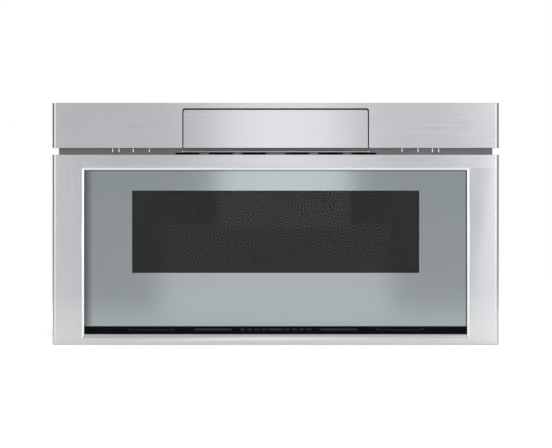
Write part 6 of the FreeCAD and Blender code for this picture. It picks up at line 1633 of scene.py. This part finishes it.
def print_mark(words, x, y, height, finish=key_white):
    """A word or number on the key glass, centred at a place."""
    bpy.ops.object.select_all(action="DESELECT")
    bpy.ops.object.text_add(location=(0, 0, 0))
    letters = bpy.context.object.data
    letters.body = words
    letters.size = height
    letters.align_x = "CENTER"
    letters.align_y = "CENTER"
    letters.extrude = PRINT_THICK / 2
    letters.resolution_u = 3
    bpy.ops.object.convert(target="MESH")
    mark = bpy.context.object
    mark.data.transform(Matrix.Translation((x, y, key_glass_high.z + PRINT_THICK / 2)))
    mark.name = "key_" + words.lower().replace(":", "_")
    hand_over(mark, "flap", [finish], quiet=True)


def print_outline(name, x, y, width, depth):
    """The thin printed outline of a key."""
    low = (x - width / 2, y - depth / 2, key_glass_high.z)
    ring = add_box(name, low, (x + width / 2, y + depth / 2, key_glass_high.z + PRINT_THICK))
    with editing():
        round_off("EDGE", lambda edge: runs_along(edge, "z"), KEY_CORNER, 4)
        pick("FACE", lambda face: abs(face.normal.z) > 0.9)
        bpy.ops.mesh.inset(thickness=OUTLINE)
        bpy.ops.mesh.bridge_edge_loops()
    hand_over(ring, "flap", [key_white], quiet=True)


print("key glass from", rounded(key_glass_low), "to", rounded(key_glass_high))

# %% The clock and the keys, in two rows
CLOCK = (-118 * MM, 15 * MM)
KEY_DEPTH = 10 * MM
FIRST_ROW = 6.2 * MM
ROW_STEP = 12.4 * MM
NUMBER_KEYS = {"start": -66, "step": 19, "width": 15.5 * MM, "letters": 6.5 * MM}
WORD_KEYS = {"start": 52, "step": 54, "width": 34 * MM, "letters": 5 * MM}
key_middle_y = (key_glass_low.y + key_glass_high.y) / 2


def add_key(words, name, keys, column, row):
    """One key: its mark and its outline."""
    x = (keys["start"] + keys["step"] * column) * MM
    y = key_middle_y + FIRST_ROW - ROW_STEP * row
    print_mark(words, x, y, keys["letters"])
    print_outline("key_outline_" + name, x, y, keys["width"], KEY_DEPTH)


print_mark("12:00", CLOCK[0], key_middle_y, CLOCK[1], display_blue)
for number in range(10):
    add_key("1234567890"[number], str(number), NUMBER_KEYS, number % 5, number // 5)
for number, words in enumerate(("POWER", "TIMER", "STOP", "START")):
    add_key(words, words.lower(), WORD_KEYS, number // 2, number % 2)

# %% [markdown]
# ## Hems on the band's brackets
# In the gap between the band and the drawer the brackets show their lower tabs. The tabs' upright
# edges are folded over, so that no one is cut when a screw is reached from below, and each fold
# catches the light as a thin bright line. The folds take the bevel's near-white finish instead of
# the brackets' zinc, so their line is partly a painted highlight. One fold is a slim box with round
# edges, copied to the eight edges.

# %% One fold and its copies
HEM_WIDTH = 1.5 * MM
HEM_ROUND = 0.45 * MM
HEM_BEFORE = 0.9 * MM
HEM_BEHIND = 0.5 * MM
TAB_THICK = 2 * MM
HEM_TOP = 319 * MM
TAB_EDGES = (215 * MM, 244 * MM, 266.8 * MM, 279 * MM)
tab_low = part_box("band_brackets")[0].z
tab_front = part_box("front_plate")[0].y - TAB_THICK
pattern = add_box("hem_pattern", (-HEM_WIDTH / 2, tab_front - HEM_BEFORE, tab_low),
                  (HEM_WIDTH / 2, tab_front + HEM_BEHIND, HEM_TOP))
with editing():
    round_off("EDGE", lambda edge: True, HEM_ROUND, 3)
hem_places = [side * (edge - HEM_WIDTH / 2 if number % 2 else edge + HEM_WIDTH / 2)
              for side in (-1, 1) for number, edge in enumerate(TAB_EDGES)]
for number, x in enumerate(hem_places, start=1):
    hem = copy_of(pattern, f"bracket_hem_{number}", Matrix.Translation((x, 0, 0)))
    # The folds take the bevel's near-white finish, a painted highlight.
    hand_over(hem, "oven", [bevel_steel_with_painted_highlight], quiet=True)
bpy.data.objects.remove(pattern)
print(len(hem_places), "folds")
